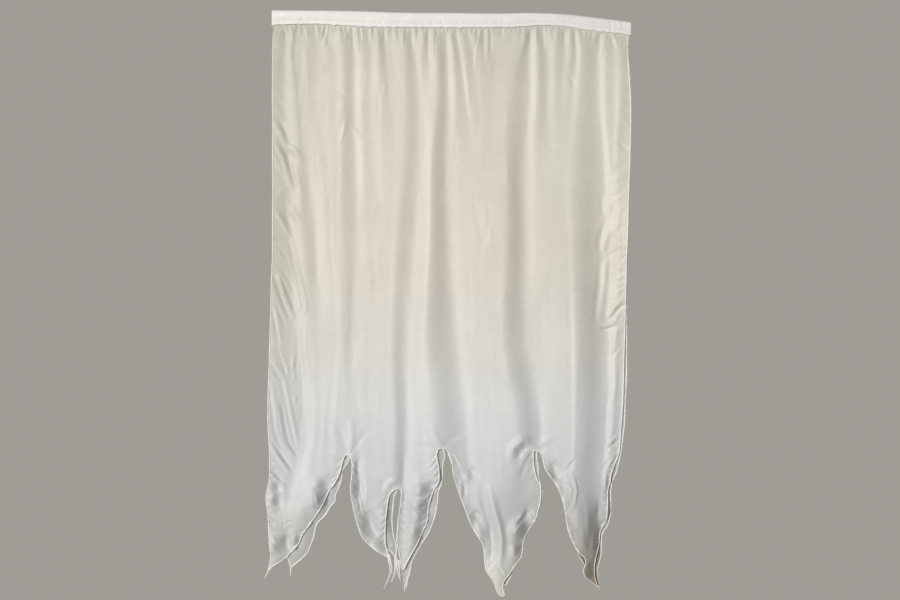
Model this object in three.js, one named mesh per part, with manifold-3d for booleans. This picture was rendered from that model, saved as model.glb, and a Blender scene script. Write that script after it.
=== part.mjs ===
// A two-layer worship flag that hangs from its rod sleeve.
//
// A white casing folded over the top edge holds the gathered tops of two satin panels. Each panel falls in
// soft vertical folds and ends in five tapering tails, cut apart by slits that run up from the foot.
//
// Millimetres, +Z up, the front faces -Y, and +X is to the right as seen from the front. The origin is on the
// casing's top edge, halfway along it.

import * as THREE from "three";
import { mergeVertices } from "three/addons/utils/BufferGeometryUtils.js";
import Module from "manifold-3d";

const wasm = await Module();
wasm.setup();

// Driving sizes
const FLAG_WIDTH = 682; // the casing, end to end
const CLOTH_THICKNESS = 1.2;
const CASING_THICKNESS = 1.1;
const SEWN_GAP = 0.3; // between pieces that are sewn together
const CLOTH_IN_CASING = 6; // how far the gathered tops go up between the casing's two edges
const CLEAR_OF_CASING = 1.5; // the folds begin this far below the casing's edges

const LEFT_END = -FLAG_WIDTH / 2;
const RIGHT_END = FLAG_WIDTH / 2;

// The casing's upper and lower edge, from left to right, as [x, z].
const CASING_TOP = [
  [LEFT_END, 5],
  [-187, 3.5],
  [-90, 0.5],
  [0, 0],
  [92, -1],
  [149, 0],
  [210, -2],
  [244, -5.5],
  [282, -10],
  [RIGHT_END, -17.5],
];
const CASING_FOOT = [
  [LEFT_END, -23.5],
  [-307, -21.5],
  [-250, -21.5],
  [-155, -26.5],
  [-60, -27.5],
  [92, -27.5],
  [149, -25],
  [181, -23.5],
  [206, -24.5],
  [235, -28.5],
  [263, -33],
  [303, -37.5],
  [RIGHT_END, -42.5],
];

// The casing's section: how far its outer face stands from the middle, at shares of its height down from the top.
const LIP_HALF_DEPTH = CLOTH_THICKNESS + 1.5 * SEWN_GAP + CASING_THICKNESS;
const CASING_SECTION = [
  { down: 0.0, halfDepth: 0.9 },
  { down: 0.04, halfDepth: 2.4 },
  { down: 0.14, halfDepth: 4.0 },
  { down: 0.3, halfDepth: 4.8 },
  { down: 0.5, halfDepth: 4.8 },
  { down: 0.66, halfDepth: 4.1 },
  { down: 0.76, halfDepth: LIP_HALF_DEPTH },
  { down: 1.0, halfDepth: LIP_HALF_DEPTH },
];
const CROWN_THICKNESS = 1.4; // the folded cloth at the top of the pocket
const CROWN_HALF_WIDTH = 0.8; // the flat at the top of the pocket
const END_HEM_X = 303; // right of here the casing is turned back on itself and sewn shut
const END_HEM_PROUD = 0.5; // how far the turned-back cloth stands out past the rest
const END_HEM_STEP = 0.2; // the turned-back edge rises over this length

// The panels' two side edges, from the casing down to the highest slit, as [x, z].
const FRONT_SIDES = {
  left: [
    [-337.5, -15],
    [-339, -80],
    [-339, -450],
    [-342, -560],
    [-346, -680],
    [-348.5, -765],
    [-345, -834],
  ],
  right: [
    [338, -35],
    [336, -75],
    [341, -165],
    [339, -300],
    [335, -430],
    [331.5, -560],
    [329, -700],
    [322, -823],
  ],
};
const BACK_SIDES = {
  left: [
    [-336.5, -15],
    [-338, -80],
    [-338, -450],
    [-340.5, -560],
    [-344, -680],
    [-346.5, -765],
    [-343, -834],
  ],
  right: [
    [338, -35],
    [336, -75],
    [340.5, -165],
    [338.5, -300],
    [335.5, -430],
    [333.5, -560],
    [334, -680],
    [330, -782],
    [325, -823],
  ],
};

// The five tails of each panel, from left to right: both edges from the slits' roots down to the point, as [x, z].
// bow is how far the tail's middle stands out to the front, and sway how far its point does.
const FRONT_TAILS = [
  {
    left: [
      [-345, -834],
      [-345, -887],
      [-349, -918],
      [-346, -963],
      [-342, -1011],
      [-348, -1055],
    ],
    right: [
      [-202, -841],
      [-210, -865],
      [-221, -891],
      [-261, -959],
      [-282, -988],
      [-290, -1006],
      [-309, -1028],
      [-334, -1047],
      [-344, -1057],
    ],
    columns: 13,
    bow: 5,
    sway: 6,
  },
  {
    left: [
      [-191, -842],
      [-190, -880],
      [-185, -939],
      [-170, -990],
      [-151, -1011],
      [-126, -1029],
      [-119, -1055],
    ],
    right: [
      [-106, -905],
      [-117, -914],
      [-123, -942],
      [-126, -982],
      [-123, -1015],
      [-115, -1055],
    ],
    columns: 8,
    bow: 4,
    sway: 9,
  },
  {
    left: [
      [-95, -904],
      [-95, -918],
      [-100, -952],
      [-103, -986],
      [-100, -1020],
      [-95, -1052],
    ],
    right: [
      [-25, -829],
      [-27, -855],
      [-24, -884],
      [-42, -931],
      [-47, -961],
      [-58, -992],
      [-77, -1026],
      [-91, -1053],
    ],
    columns: 7,
    bow: 5,
    sway: 3,
  },
  {
    left: [
      [-10, -827],
      [-1, -844],
      [3, -874],
      [16, -916],
      [33, -961],
      [52, -996],
      [62, -1020],
      [67, -1058],
      [81, -1080],
      [92, -1104],
    ],
    right: [
      [156, -832],
      [156, -855],
      [168, -895],
      [164, -944],
      [147, -984],
      [136, -1005],
      [133, -1035],
      [117, -1054],
      [101, -1077],
      [97, -1105],
    ],
    columns: 15,
    bow: 9,
    sway: 5,
  },
  {
    left: [
      [170, -835],
      [178, -862],
      [199, -893],
      [212, -922],
      [219, -963],
      [226, -997],
      [246, -1026],
      [250, -1062],
      [263, -1078],
      [276, -1089],
    ],
    right: [
      [322, -823],
      [317, -844],
      [303, -882],
      [297, -910],
      [296, -948],
      [284, -988],
      [281, -1015],
      [274, -1043],
      [274, -1072],
      [280, -1091],
    ],
    columns: 14,
    bow: 7,
    sway: 7,
  },
];
const BACK_TAILS = [
  {
    left: [
      [-343, -834],
      [-339, -906],
      [-328, -973],
      [-313, -1032],
      [-307, -1056],
    ],
    right: [
      [-193, -844],
      [-197, -854],
      [-208, -870],
      [-212, -895],
      [-223, -926],
      [-256, -971],
      [-262, -997],
      [-275, -1024],
      [-296, -1045],
      [-303, -1057],
    ],
    columns: 9,
    bow: -3,
    sway: -4,
  },
  {
    left: [
      [-188, -842],
      [-181, -906],
      [-166, -963],
      [-143, -1001],
      [-122, -1016],
      [-111, -1030],
      [-109, -1055],
    ],
    right: [
      [-104, -906],
      [-109, -920],
      [-113, -954],
      [-112, -982],
      [-106, -1011],
      [-105, -1055],
    ],
    columns: 6,
    bow: -3,
    sway: -7,
  },
  {
    left: [
      [-93, -906],
      [-94, -963],
      [-95, -1020],
      [-92, -1068],
      [-89, -1091],
    ],
    right: [
      [-15, -828],
      [-13, -842],
      [-17, -868],
      [-24, -910],
      [-29, -944],
      [-41, -978],
      [-62, -1016],
      [-76, -1043],
      [-81, -1068],
      [-85, -1091],
    ],
    columns: 5,
    bow: -4,
    sway: -5,
  },
  {
    left: [
      [-8, -828],
      [5, -868],
      [24, -925],
      [47, -978],
      [67, -1024],
      [87, -1062],
      [102, -1086],
    ],
    right: [
      [162, -836],
      [166, -868],
      [173, -916],
      [166, -939],
      [143, -982],
      [131, -1013],
      [119, -1058],
      [107, -1087],
    ],
    columns: 10,
    bow: -5,
    sway: -3,
  },
  {
    left: [
      [173, -836],
      [183, -868],
      [206, -910],
      [221, -963],
      [235, -1007],
      [241, -1030],
      [250, -1056],
      [266, -1080],
      [278, -1092],
    ],
    right: [
      [325, -823],
      [320, -853],
      [307, -891],
      [303, -916],
      [303, -950],
      [290, -990],
      [286, -1024],
      [279, -1053],
      [279, -1074],
      [283, -1093],
    ],
    columns: 9,
    bow: -4,
    sway: -5,
  },
];

// The main folds, from left to right. Each line is the crest or the hollow of a fold, followed down the cloth:
// its x and how far it stands out to the front at the five FOLD_HEIGHTS.
const FOLD_HEIGHTS = [-80, -222, -422, -621, -792];
const FOLD_LINES = [
  { x: [-341, -341, -341, -345, -349], out: [1, 1, 1, 1, 1] },
  { x: [-318, -318, -318, -313, -318], out: [-1.5, -1, -1, -1, -1] },
  { x: [-303, -292, -290, -276, -294], out: [3, 3, 3, 3, 2.5] },
  { x: [-256, -261, -257, -246, -272], out: [-1, 0, 0, 0, 0] },
  { x: [-206, -210, -208, -210, -212], out: [3, 3.5, 3, 2, 1.5] },
  { x: [-185, -183, -180, -191, -193], out: [-2, -2.5, -1, 0.5, 1] },
  { x: [-168, -168, -162, -170, -174], out: [0.5, 0, 0.5, 1, 1] },
  { x: [-153, -155, -147, -147, -155], out: [-1.5, -1, 0, 0.5, 0.5] },
  { x: [-138, -140, -136, -136, -136], out: [1.5, 1, 1, 1, 1] },
  { x: [-124, -124, -126, -126, -126], out: [-2, 0, 0.5, 1, 1] },
  { x: [-88, -90, -105, -109, -107], out: [3, 3, 3, 3.5, 3] },
  { x: [-71, -60, -69, -79, -81], out: [-2, -2, -2, -2.5, -2.5] },
  { x: [-28, -31, -35, -33, -41], out: [3, 3.5, 4, 4, 3.5] },
  { x: [-9, -7, -1, 14, 29], out: [-3, -4, -4.5, -5, -4] },
  { x: [5, 10, 35, 47, 69], out: [0.5, 1, 1, 2, 2.5] },
  { x: [16, 29, 54, 66, 88], out: [-2.5, -2, 0, 1, 1.5] },
  { x: [52, 50, 71, 86, 103], out: [2, 1.5, 1.5, 2.5, 2.5] },
  { x: [64, 73, 81, 92, 110], out: [-1.5, 0, 1, 2, 2] },
  { x: [115, 109, 105, 107, 126], out: [4, 4, 4, 4, 4] },
  { x: [145, 142, 142, 157, 174], out: [-3, -4, -5, -4, -4.5] },
  { x: [164, 162, 176, 183, 191], out: [1, 1.5, 1, 1.5, 1.5] },
  { x: [181, 189, 193, 193, 199], out: [-2, -1.5, 0, 1, 1.5] },
  { x: [239, 231, 231, 227, 240], out: [3.5, 4, 4, 4.5, 4.5] },
  { x: [271, 278, 280, 282, 282], out: [-4, -4.5, -4.5, -4, -4] },
  { x: [294, 295, 311, 314, 307], out: [3, 3, 3, 3, 2.5] },
  { x: [307, 305, 320, 322, 315], out: [1, 1, 1.5, 1.5, 1] },
  { x: [337, 341, 337, 333, 325], out: [3, 3, 2.5, 2, 1] },
];
const FOLD_DEPTH = 1.6; // scales every out value in FOLD_LINES
const FOLD_RAMP = 60; // the folds reach their full depth this far below the casing
const LAYER_SPACING = 3; // each panel stands this far from the middle below the ramp
const BACK_FOLD_SHARE = 0.8; // the back panel lies in the same folds, a little shallower
const TAIL_FOLD_SHARE = 0.6; // what is left of the folds at the tails' points

// The cloth fans out from its gathers: the thread that reaches the slits' height at x = foot leaves the casing
// at x = top.
const THREADS = { foot: [-345, -212, -107, -41, 29, 174, 322], top: [-337.5, -206, -92, -28, -9, 145, 338] };

// Slanting folds that the side hems and the slits' roots pull into the cloth. Each runs straight from one point
// to the other as [x, z]; out is how far its middle stands out to the front.
const DRAG_FOLDS = [
  { from: [-324, -215], to: [-294, -329], halfWidth: 10, out: -3.5 },
  { from: [-335, -367], to: [-307, -416], halfWidth: 10, out: -2.5 },
  { from: [-309, -382], to: [-294, -397], halfWidth: 13, out: 2 },
  { from: [-337, -454], to: [-290, -566], halfWidth: 11, out: -4 },
  { from: [-337, -492], to: [-307, -572], halfWidth: 8, out: 3 },
  { from: [-341, -553], to: [-305, -686], halfWidth: 11, out: -4 },
  { from: [-341, -595], to: [-320, -694], halfWidth: 8, out: 2 },
  { from: [-332, -709], to: [-303, -830], halfWidth: 11, out: -3 },
  { from: [-320, -694], to: [-290, -830], halfWidth: 8, out: 2.5 },
  { from: [-349, -808], to: [-288, -891], halfWidth: 10, out: -2 },
  { from: [332, -241], to: [309, -279], halfWidth: 10, out: -2 },
  { from: [328, -397], to: [290, -446], halfWidth: 11, out: 2 },
  { from: [328, -454], to: [290, -473], halfWidth: 10, out: -1.5 },
  { from: [332, -511], to: [280, -587], halfWidth: 13, out: 3.5 },
  { from: [324, -551], to: [294, -597], halfWidth: 10, out: -3 },
  { from: [330, -621], to: [299, -663], halfWidth: 10, out: -2 },
  { from: [313, -808], to: [282, -834], halfWidth: 10, out: -2 },
  { from: [-193, -834], to: [-246, -766], halfWidth: 11, out: 1.5 },
  { from: [-20, -823], to: [-83, -834], halfWidth: 11, out: -1.5 },
  { from: [157, -826], to: [115, -823], halfWidth: 17, out: -3.5 },
  { from: [-102, -899], to: [-128, -872], halfWidth: 11, out: 2 },
  { from: [-94, -899], to: [-60, -868], halfWidth: 11, out: 2 },
  { from: [-202, -849], to: [-235, -884], halfWidth: 11, out: -1.5 },
];

const smooth = (t) => THREE.MathUtils.smoothstep(t, 0, 1);
const mix = THREE.MathUtils.lerp;

// A function z(x), or x(z) where along is 1, through a list of [x, z] points.
function edgeThrough(points, along = 0) {
  const at = points.map((p) => p[along]);
  const value = points.map((p) => p[1 - along]);
  return (q) => through(at, value, q);
}

// A cubic through (at[i], value[i]), with slopes taken from the neighbours and held flat past both ends.
function through(at, value, q) {
  const last = at.length - 1;
  const rising = at[last] > at[0];
  if (rising ? q <= at[0] : q >= at[0]) return value[0];
  if (rising ? q >= at[last] : q <= at[last]) return value[last];
  let i = 0;
  while (rising ? q > at[i + 1] : q < at[i + 1]) i += 1;
  const span = at[i + 1] - at[i];
  const slope = (k) => {
    const before = Math.max(k - 1, 0);
    const after = Math.min(k + 1, last);
    return (value[after] - value[before]) / (at[after] - at[before]);
  };
  const t = (q - at[i]) / span;
  const [t2, t3] = [t * t, t * t * t];
  return (
    (2 * t3 - 3 * t2 + 1) * value[i] +
    (t3 - 2 * t2 + t) * span * slope(i) +
    (3 * t2 - 2 * t3) * value[i + 1] +
    (t3 - t2) * span * slope(i + 1)
  );
}

const casingTop = edgeThrough(CASING_TOP);
const casingFoot = edgeThrough(CASING_FOOT);

// How far the main folds stand out to the front at a point of the cloth.
function foldOut(x, z) {
  const lines = FOLD_LINES.map((line) => ({
    x: through(FOLD_HEIGHTS, line.x, z),
    out: through(FOLD_HEIGHTS, line.out, z),
  }));
  const next = lines.findIndex((line) => line.x > x);
  if (next === 0) return FOLD_DEPTH * lines[0].out;
  if (next < 0) return FOLD_DEPTH * lines[lines.length - 1].out;
  const [from, to] = [lines[next - 1], lines[next]];
  return FOLD_DEPTH * mix(from.out, to.out, smooth((x - from.x) / (to.x - from.x)));
}

// How far the slanting folds stand out to the front at a point of the cloth.
function dragOut(x, z) {
  const point = new THREE.Vector3(x, 0, z);
  const nearest = new THREE.Vector3();
  return DRAG_FOLDS.reduce((sum, { from, to, halfWidth, out }) => {
    const line = new THREE.Line3(new THREE.Vector3(from[0], 0, from[1]), new THREE.Vector3(to[0], 0, to[1]));
    line.closestPointToPoint(point, true, nearest);
    return sum + out * Math.exp(-((nearest.distanceTo(point) / halfWidth) ** 2));
  }, 0);
}

// A closed solid from a surface of quads, thickened along Y. Quads turn anticlockwise as seen from the front.
function thicken(points, quads, thickness) {
  const count = points.length;
  const position = [];
  for (const side of [-1, 1]) {
    for (const p of points) position.push(p[0], p[1] + (side * thickness) / 2, p[2]);
  }
  const index = [];
  const rim = new Map();
  for (const [a, b, c, d] of quads) {
    index.push(a, b, c, a, c, d);
    index.push(count + a, count + c, count + b, count + a, count + d, count + c);
    for (const [from, to] of [[a, b], [b, c], [c, d], [d, a]]) {
      if (!rim.delete(`${to} ${from}`)) rim.set(`${from} ${to}`, [from, to]);
    }
  }
  for (const [from, to] of rim.values()) {
    index.push(from, count + to, to, from, count + from, count + to);
  }
  const geometry = new THREE.BufferGeometry();
  geometry.setAttribute("position", new THREE.Float32BufferAttribute(position, 3));
  geometry.setIndex(index);
  return geometry;
}

// Rows of the panel, as shares of the way from the casing to the slits and from the slits to the points.
const FRONT_ROWS = {
  body: [0, 0.03, 0.06, 0.1, 0.15, 0.21, 0.28, 0.36, 0.44, 0.52, 0.6, 0.68, 0.76, 0.83, 0.9, 0.95, 1],
  tail: [0.08, 0.18, 0.3, 0.42, 0.54, 0.66, 0.78, 0.89, 1],
};
const BACK_ROWS = {
  body: [0, 0.03, 0.07, 0.13, 0.22, 0.32, 0.43, 0.55, 0.67, 0.79, 0.9, 1],
  tail: [0.1, 0.23, 0.36, 0.5, 0.64, 0.78, 0.9, 1],
};

// One panel: a grid below the casing that splits into the tails at the slits' roots.
// facing is 1 for the front panel and -1 for the back one.
function panelGeometry({ sides, tails, rows, facing, foldShare }) {
  const leftSide = edgeThrough(sides.left, 1);
  const rightSide = edgeThrough(sides.right, 1);
  const restY = (-facing * (CLOTH_THICKNESS + SEWN_GAP)) / 2;

  // Where the cloth at (x, z) lies in depth. extra stands out to the front.
  const depth = (x, z, share, extra = 0) => {
    const below = casingFoot(x) - CLEAR_OF_CASING - z;
    const ramp = smooth(THREE.MathUtils.clamp(below / FOLD_RAMP, 0, 1));
    const out = facing * LAYER_SPACING + share * foldShare * (foldOut(x, z) + dragOut(x, z));
    return restY - ramp * out - extra;
  };

  // The roots' row: the column points that the body ends in and the tails start from.
  const roots = tails.flatMap(({ left, right, columns }, tail) =>
    Array.from({ length: columns + 1 }, (_, i) => ({
      tail,
      x: mix(left[0][0], right[0][0], i / columns),
      z: mix(left[0][1], right[0][1], i / columns),
    })),
  );

  const points = [];
  const quads = [];
  const joinRows = (above, below) => {
    for (let i = 0; i + 1 < below.length; i += 1) {
      quads.push([below[i], below[i + 1], above[i + 1], above[i]]);
    }
  };
  const addPoint = (x, y, z) => points.push([x, y, z]) - 1;

  const across = (x, z) => (x - leftSide(z)) / (rightSide(z) - leftSide(z));
  const tops = roots.map((root) => {
    const x = through(THREADS.foot, THREADS.top, root.x);
    return { x, z: casingFoot(x) };
  });
  let above = tops.map(({ x, z }) => addPoint(x, restY, z + CLOTH_IN_CASING));
  for (const share of rows.body) {
    const row = roots.map((root, i) => {
      const z = mix(tops[i].z - CLEAR_OF_CASING, root.z, share);
      const fan = mix(across(tops[i].x, tops[i].z), across(root.x, root.z), share * share);
      const x = mix(leftSide(z), rightSide(z), fan);
      return addPoint(x, depth(x, z, 1), z);
    });
    joinRows(above, row);
    above = row;
  }

  tails.forEach((tail, number) => {
    const [left, right] = [tail.left, tail.right].map(
      (edge) => new THREE.SplineCurve(edge.map(([x, z]) => new THREE.Vector2(x, z))),
    );
    let upper = above.filter((_, i) => roots[i].tail === number);
    for (const share of rows.tail) {
      const [from, to] = [left.getPointAt(share), right.getPointAt(share)];
      const lower = Array.from({ length: tail.columns + 1 }, (_, i) => {
        const across = i / tail.columns;
        const [x, z] = [mix(from.x, to.x, across), mix(from.y, to.y, across)];
        const crown = tail.bow * Math.sin(Math.PI * across) * Math.sin(Math.PI * share);
        const extra = crown + tail.sway * share * share;
        return addPoint(x, depth(x, z, mix(1, TAIL_FOLD_SHARE, share), extra), z);
      });
      joinRows(upper, lower);
      upper = lower;
    }
  });
  return thicken(points, quads, CLOTH_THICKNESS);
}

// A closed solid through rings of points that all have the same number of corners. Rings run along +X and turn
// anticlockwise as seen from +X.
function loft(rings) {
  const corners = rings[0].length;
  const index = [];
  for (let r = 0; r + 1 < rings.length; r += 1) {
    for (let i = 0; i < corners; i += 1) {
      const j = (i + 1) % corners;
      const [a, b, c, d] = [r * corners + i, r * corners + j, (r + 1) * corners + j, (r + 1) * corners + i];
      index.push(a, b, c, a, c, d);
    }
  }
  const flat = rings[0].map((p) => new THREE.Vector2(p.y, p.z));
  const last = (rings.length - 1) * corners;
  for (const [a, b, c] of THREE.ShapeUtils.triangulateShape(flat, [])) {
    index.push(a, c, b);
    index.push(last + a, last + b, last + c);
  }
  const position = rings.flat().flatMap((p) => [p.x, p.y, p.z]);
  const geometry = new THREE.BufferGeometry();
  geometry.setAttribute("position", new THREE.Float32BufferAttribute(position, 3));
  geometry.setIndex(index);
  return geometry;
}

// The casing's section at x: a strip folded over the top, out along the front, over the crown and down the back.
function casingRing(x, proud) {
  const top = casingTop(x);
  const height = top - casingFoot(x);
  const outer = CASING_SECTION.map(({ down, halfDepth }) => ({
    z: top - down * height,
    y: halfDepth + proud,
  }));
  const inner = CASING_SECTION.slice(2).map(({ down, halfDepth }) => ({
    z: top - down * height,
    y: halfDepth - CASING_THICKNESS,
  }));
  inner.unshift({ z: top - CROWN_THICKNESS, y: CROWN_HALF_WIDTH });
  const at = (y, z) => new THREE.Vector3(x, y, z);
  return [
    ...outer.map((p) => at(-p.y, p.z)),
    ...inner.toReversed().map((p) => at(-p.y, p.z)),
    ...inner.map((p) => at(p.y, p.z)),
    ...outer.toReversed().map((p) => at(p.y, p.z)),
  ];
}

// The sewn end of the pocket: it fills the hollow above the panels' tops.
const PLUG_REACH = 0.4; // into the casing's wall, so that the two join
const PLUG_SPAN = { from: 0.1, to: 0.72 }; // shares of the casing's height, down from the top
function plugRing(x) {
  const top = casingTop(x);
  const height = top - casingFoot(x);
  const half = CASING_SECTION.filter(({ down }) => down > PLUG_SPAN.from && down < PLUG_SPAN.to).map(
    ({ down, halfDepth }) => ({
      z: top - down * height,
      y: halfDepth - CASING_THICKNESS + PLUG_REACH,
    }),
  );
  half.unshift({ z: top - CROWN_THICKNESS + PLUG_REACH, y: CROWN_HALF_WIDTH });
  const at = (y, z) => new THREE.Vector3(x, y, z);
  return [...half.map((p) => at(-p.y, p.z)), ...half.toReversed().map((p) => at(p.y, p.z))];
}

const CASING_STATIONS = [
  LEFT_END, -310, -280, -250, -215, -185, -150, -110, -60, 0, 50, 95, 125, 150, 170, 190, 210, 228, 246, 268,
];

function solidOf(geometry) {
  const bare = geometry.clone();
  bare.deleteAttribute("normal");
  bare.deleteAttribute("uv");
  const merged = mergeVertices(bare);
  return new wasm.Manifold(
    new wasm.Mesh({
      numProp: 3,
      vertProperties: new Float32Array(merged.attributes.position.array),
      triVerts: new Uint32Array(merged.index.array),
    }),
  );
}

function geometryOf(solid) {
  const { vertProperties, triVerts } = solid.getMesh();
  const geometry = new THREE.BufferGeometry();
  geometry.setAttribute("position", new THREE.Float32BufferAttribute(vertProperties, 3));
  geometry.setIndex([...triVerts]);
  return geometry;
}

function casingGeometry() {
  const endStations = [END_HEM_X, (END_HEM_X + RIGHT_END) / 2, RIGHT_END];
  const rings = [
    ...CASING_STATIONS.map((x) => casingRing(x, 0)),
    casingRing(END_HEM_X - END_HEM_STEP, 0),
    ...endStations.map((x) => casingRing(x, END_HEM_PROUD)),
  ];
  return geometryOf(solidOf(loft(rings)).add(solidOf(loft(endStations.map(plugRing)))));
}

const satin = new THREE.MeshStandardMaterial({ color: 0xd8d3c6, roughness: 0.45, side: THREE.DoubleSide });
const cotton = new THREE.MeshStandardMaterial({ color: 0xe9e4e2, roughness: 0.85 });

function piece(name, geometry, material) {
  const shaded = geometry.toNonIndexed();
  shaded.computeVertexNormals();
  const mesh = new THREE.Mesh(shaded, material);
  mesh.name = name;
  return mesh;
}

const flag = new THREE.Group();
flag.add(piece("rod_sleeve", casingGeometry(), cotton));
flag.add(
  piece(
    "front_panel",
    panelGeometry({ sides: FRONT_SIDES, tails: FRONT_TAILS, rows: FRONT_ROWS, facing: 1, foldShare: 1 }),
    satin,
  ),
);
flag.add(
  piece(
    "back_panel",
    panelGeometry({
      sides: BACK_SIDES,
      tails: BACK_TAILS,
      rows: BACK_ROWS,
      facing: -1,
      foldShare: BACK_FOLD_SHARE,
    }),
    satin,
  ),
);

export default flag;
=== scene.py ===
# %% [markdown]
# # A two-layer worship flag that hangs from its rod sleeve
# The real flag is two panels of thin white satin, cut to the same pattern and gathered into a white
# cotton casing that has room for a rod. Each panel has four long tails with a rolled hem. The second is
# split again, so there are five points, and this script calls each of the five a tail. The cloth is built
# row by row from tables of folds, because a simulation would give folds of its own and not the ones that
# this flag hangs in. The tables were made beforehand. Their points were marked on a front view, partly
# with the help of its brightness, and turned into millimetres.

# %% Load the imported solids
import math

import bpy
import numpy as np
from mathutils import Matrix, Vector


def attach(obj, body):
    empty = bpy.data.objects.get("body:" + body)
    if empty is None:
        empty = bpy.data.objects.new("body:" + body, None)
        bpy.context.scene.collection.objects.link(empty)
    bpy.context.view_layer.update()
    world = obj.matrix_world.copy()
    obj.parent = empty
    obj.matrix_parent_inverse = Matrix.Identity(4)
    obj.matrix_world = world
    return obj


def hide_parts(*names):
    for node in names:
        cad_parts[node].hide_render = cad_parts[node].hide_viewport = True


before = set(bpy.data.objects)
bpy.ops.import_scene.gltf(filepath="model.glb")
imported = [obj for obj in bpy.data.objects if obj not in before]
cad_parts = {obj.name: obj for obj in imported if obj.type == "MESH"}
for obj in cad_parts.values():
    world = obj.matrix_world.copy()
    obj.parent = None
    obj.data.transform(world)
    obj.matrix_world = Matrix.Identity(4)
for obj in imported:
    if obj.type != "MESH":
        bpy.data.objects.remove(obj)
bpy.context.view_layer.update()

# %% [markdown]
# ## Camera
# The flag was seen face on, so the camera looks level along +Y. Its distance and lens together decide how
# much of the flag fits in the frame: at this distance a 50 mm lens sees 1.71 m across, which leaves the
# same room around the flag as the real view.

# %% Camera
scene = bpy.context.scene
SENSOR_WIDTH = 36.0
LENS = 50.0
SEEN_WIDTH = 1.71
VIEW_CENTRE = (-0.00285, -0.5453)

camera_data = bpy.data.cameras.new("camera")
camera_data.sensor_width = SENSOR_WIDTH
camera_data.lens = LENS
camera = bpy.data.objects.new("camera", camera_data)
scene.collection.objects.link(camera)
camera.location = (VIEW_CENTRE[0], -SEEN_WIDTH * LENS / SENSOR_WIDTH, VIEW_CENTRE[1])
camera.rotation_euler = (math.radians(90), 0, 0)
scene.camera = camera
scene.view_settings.view_transform = "Standard"
print("camera stands", round(-camera.location.y, 3), "m in front of the cloth")

# %% [markdown]
# ## Floor, surroundings and light
# A studio for white cloth needs one large soft key light from the upper left, so that every fold is
# bright on its left side and shaded on its right, and a weak fill from the right that keeps the shades
# open. A light at the rear shows the back panel when the flag is turned. The grey surroundings light it
# evenly from all sides.

# %% Floor, surroundings and light
SURROUNDINGS = (0.352, 0.333, 0.309)
AMBIENT_SHARE = 0.5
FLOOR_SIZE = 2.2
FLOOR_Z = -1.45
FLOOR_COLOUR = (0.62, 0.6, 0.57)
FLOOR_ROUGHNESS = 0.8

world = bpy.data.worlds.new("surroundings")
world.use_nodes = True
world_nodes, world_links = world.node_tree.nodes, world.node_tree.links
backdrop = world_nodes["Background"]
ambient = world_nodes.new("ShaderNodeBackground")
for background, strength in ((backdrop, 1.0), (ambient, AMBIENT_SHARE)):
    background.inputs["Color"].default_value = (*SURROUNDINGS, 1)
    background.inputs["Strength"].default_value = strength
seen = world_nodes.new("ShaderNodeLightPath")
either = world_nodes.new("ShaderNodeMixShader")
world_links.new(seen.outputs["Is Camera Ray"], either.inputs["Fac"])
world_links.new(ambient.outputs["Background"], either.inputs[1])
world_links.new(backdrop.outputs["Background"], either.inputs[2])
world_links.new(either.outputs["Shader"], world_nodes["World Output"].inputs["Surface"])
scene.world = world


def soft_light(name, place, width, height, power, colour):
    """A rectangular area light that points at the middle of the cloth."""
    data = bpy.data.lights.new(name, "AREA")
    data.shape = "RECTANGLE"
    data.size, data.size_y = width, height
    data.energy = power
    data.color = colour
    light = bpy.data.objects.new(name, data)
    scene.collection.objects.link(light)
    light.location = place
    light.rotation_euler = (Vector(CLOTH_MIDDLE) - Vector(place)).to_track_quat("-Z", "Y").to_euler()


CLOTH_MIDDLE = (0, 0, -0.5)
soft_light("key", (-2.6, -4.4, 0.5), width=1.9, height=3.0, power=219, colour=(1.0, 0.985, 0.96))
soft_light("fill", (2.4, -2.2, -0.6), width=1.2, height=1.8, power=4, colour=(0.93, 0.96, 1.0))
soft_light("rear", (1.2, 2.6, 0.6), width=1.6, height=1.6, power=85, colour=(1.0, 0.98, 0.96))


def mesh_object(name, points, faces, smooth=True):
    """A mesh object from points in metres."""
    mesh = bpy.data.meshes.new(name)
    mesh.from_pydata([tuple(p) for p in points], [], faces)
    mesh.validate()
    if smooth:
        mesh.polygons.foreach_set("use_smooth", [True] * len(mesh.polygons))
    piece = bpy.data.objects.new(name, mesh)
    scene.collection.objects.link(piece)
    return piece


half = FLOOR_SIZE / 2
floor_corners = [(x * half, y * half, FLOOR_Z) for x, y in ((-1, -1), (1, -1), (1, 1), (-1, 1))]
floor = mesh_object("floor", floor_corners, [(0, 1, 2, 3)], smooth=False)
floor_finish = bpy.data.materials.new("floor")
floor_finish.use_nodes = True
floor_shader = floor_finish.node_tree.nodes["Principled BSDF"]
floor_shader.inputs["Base Color"].default_value = (*FLOOR_COLOUR, 1)
floor_shader.inputs["Roughness"].default_value = FLOOR_ROUGHNESS
floor.data.materials.append(floor_finish)

# %% [markdown]
# ## Curves through listed points
# Every edge and fold of the flag is a list of points, in millimetres, joined by a smooth curve. Working
# on whole arrays of points at once keeps this fast in Python.

# %% Curves through listed points
MM = 0.001


def smooth(t):
    """0 to 1 with level ends."""
    t = np.clip(t, 0, 1)
    return t * t * (3 - 2 * t)


def mix(a, b, t):
    """From a to b as t goes from 0 to 1."""
    return a + (b - a) * t


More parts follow.
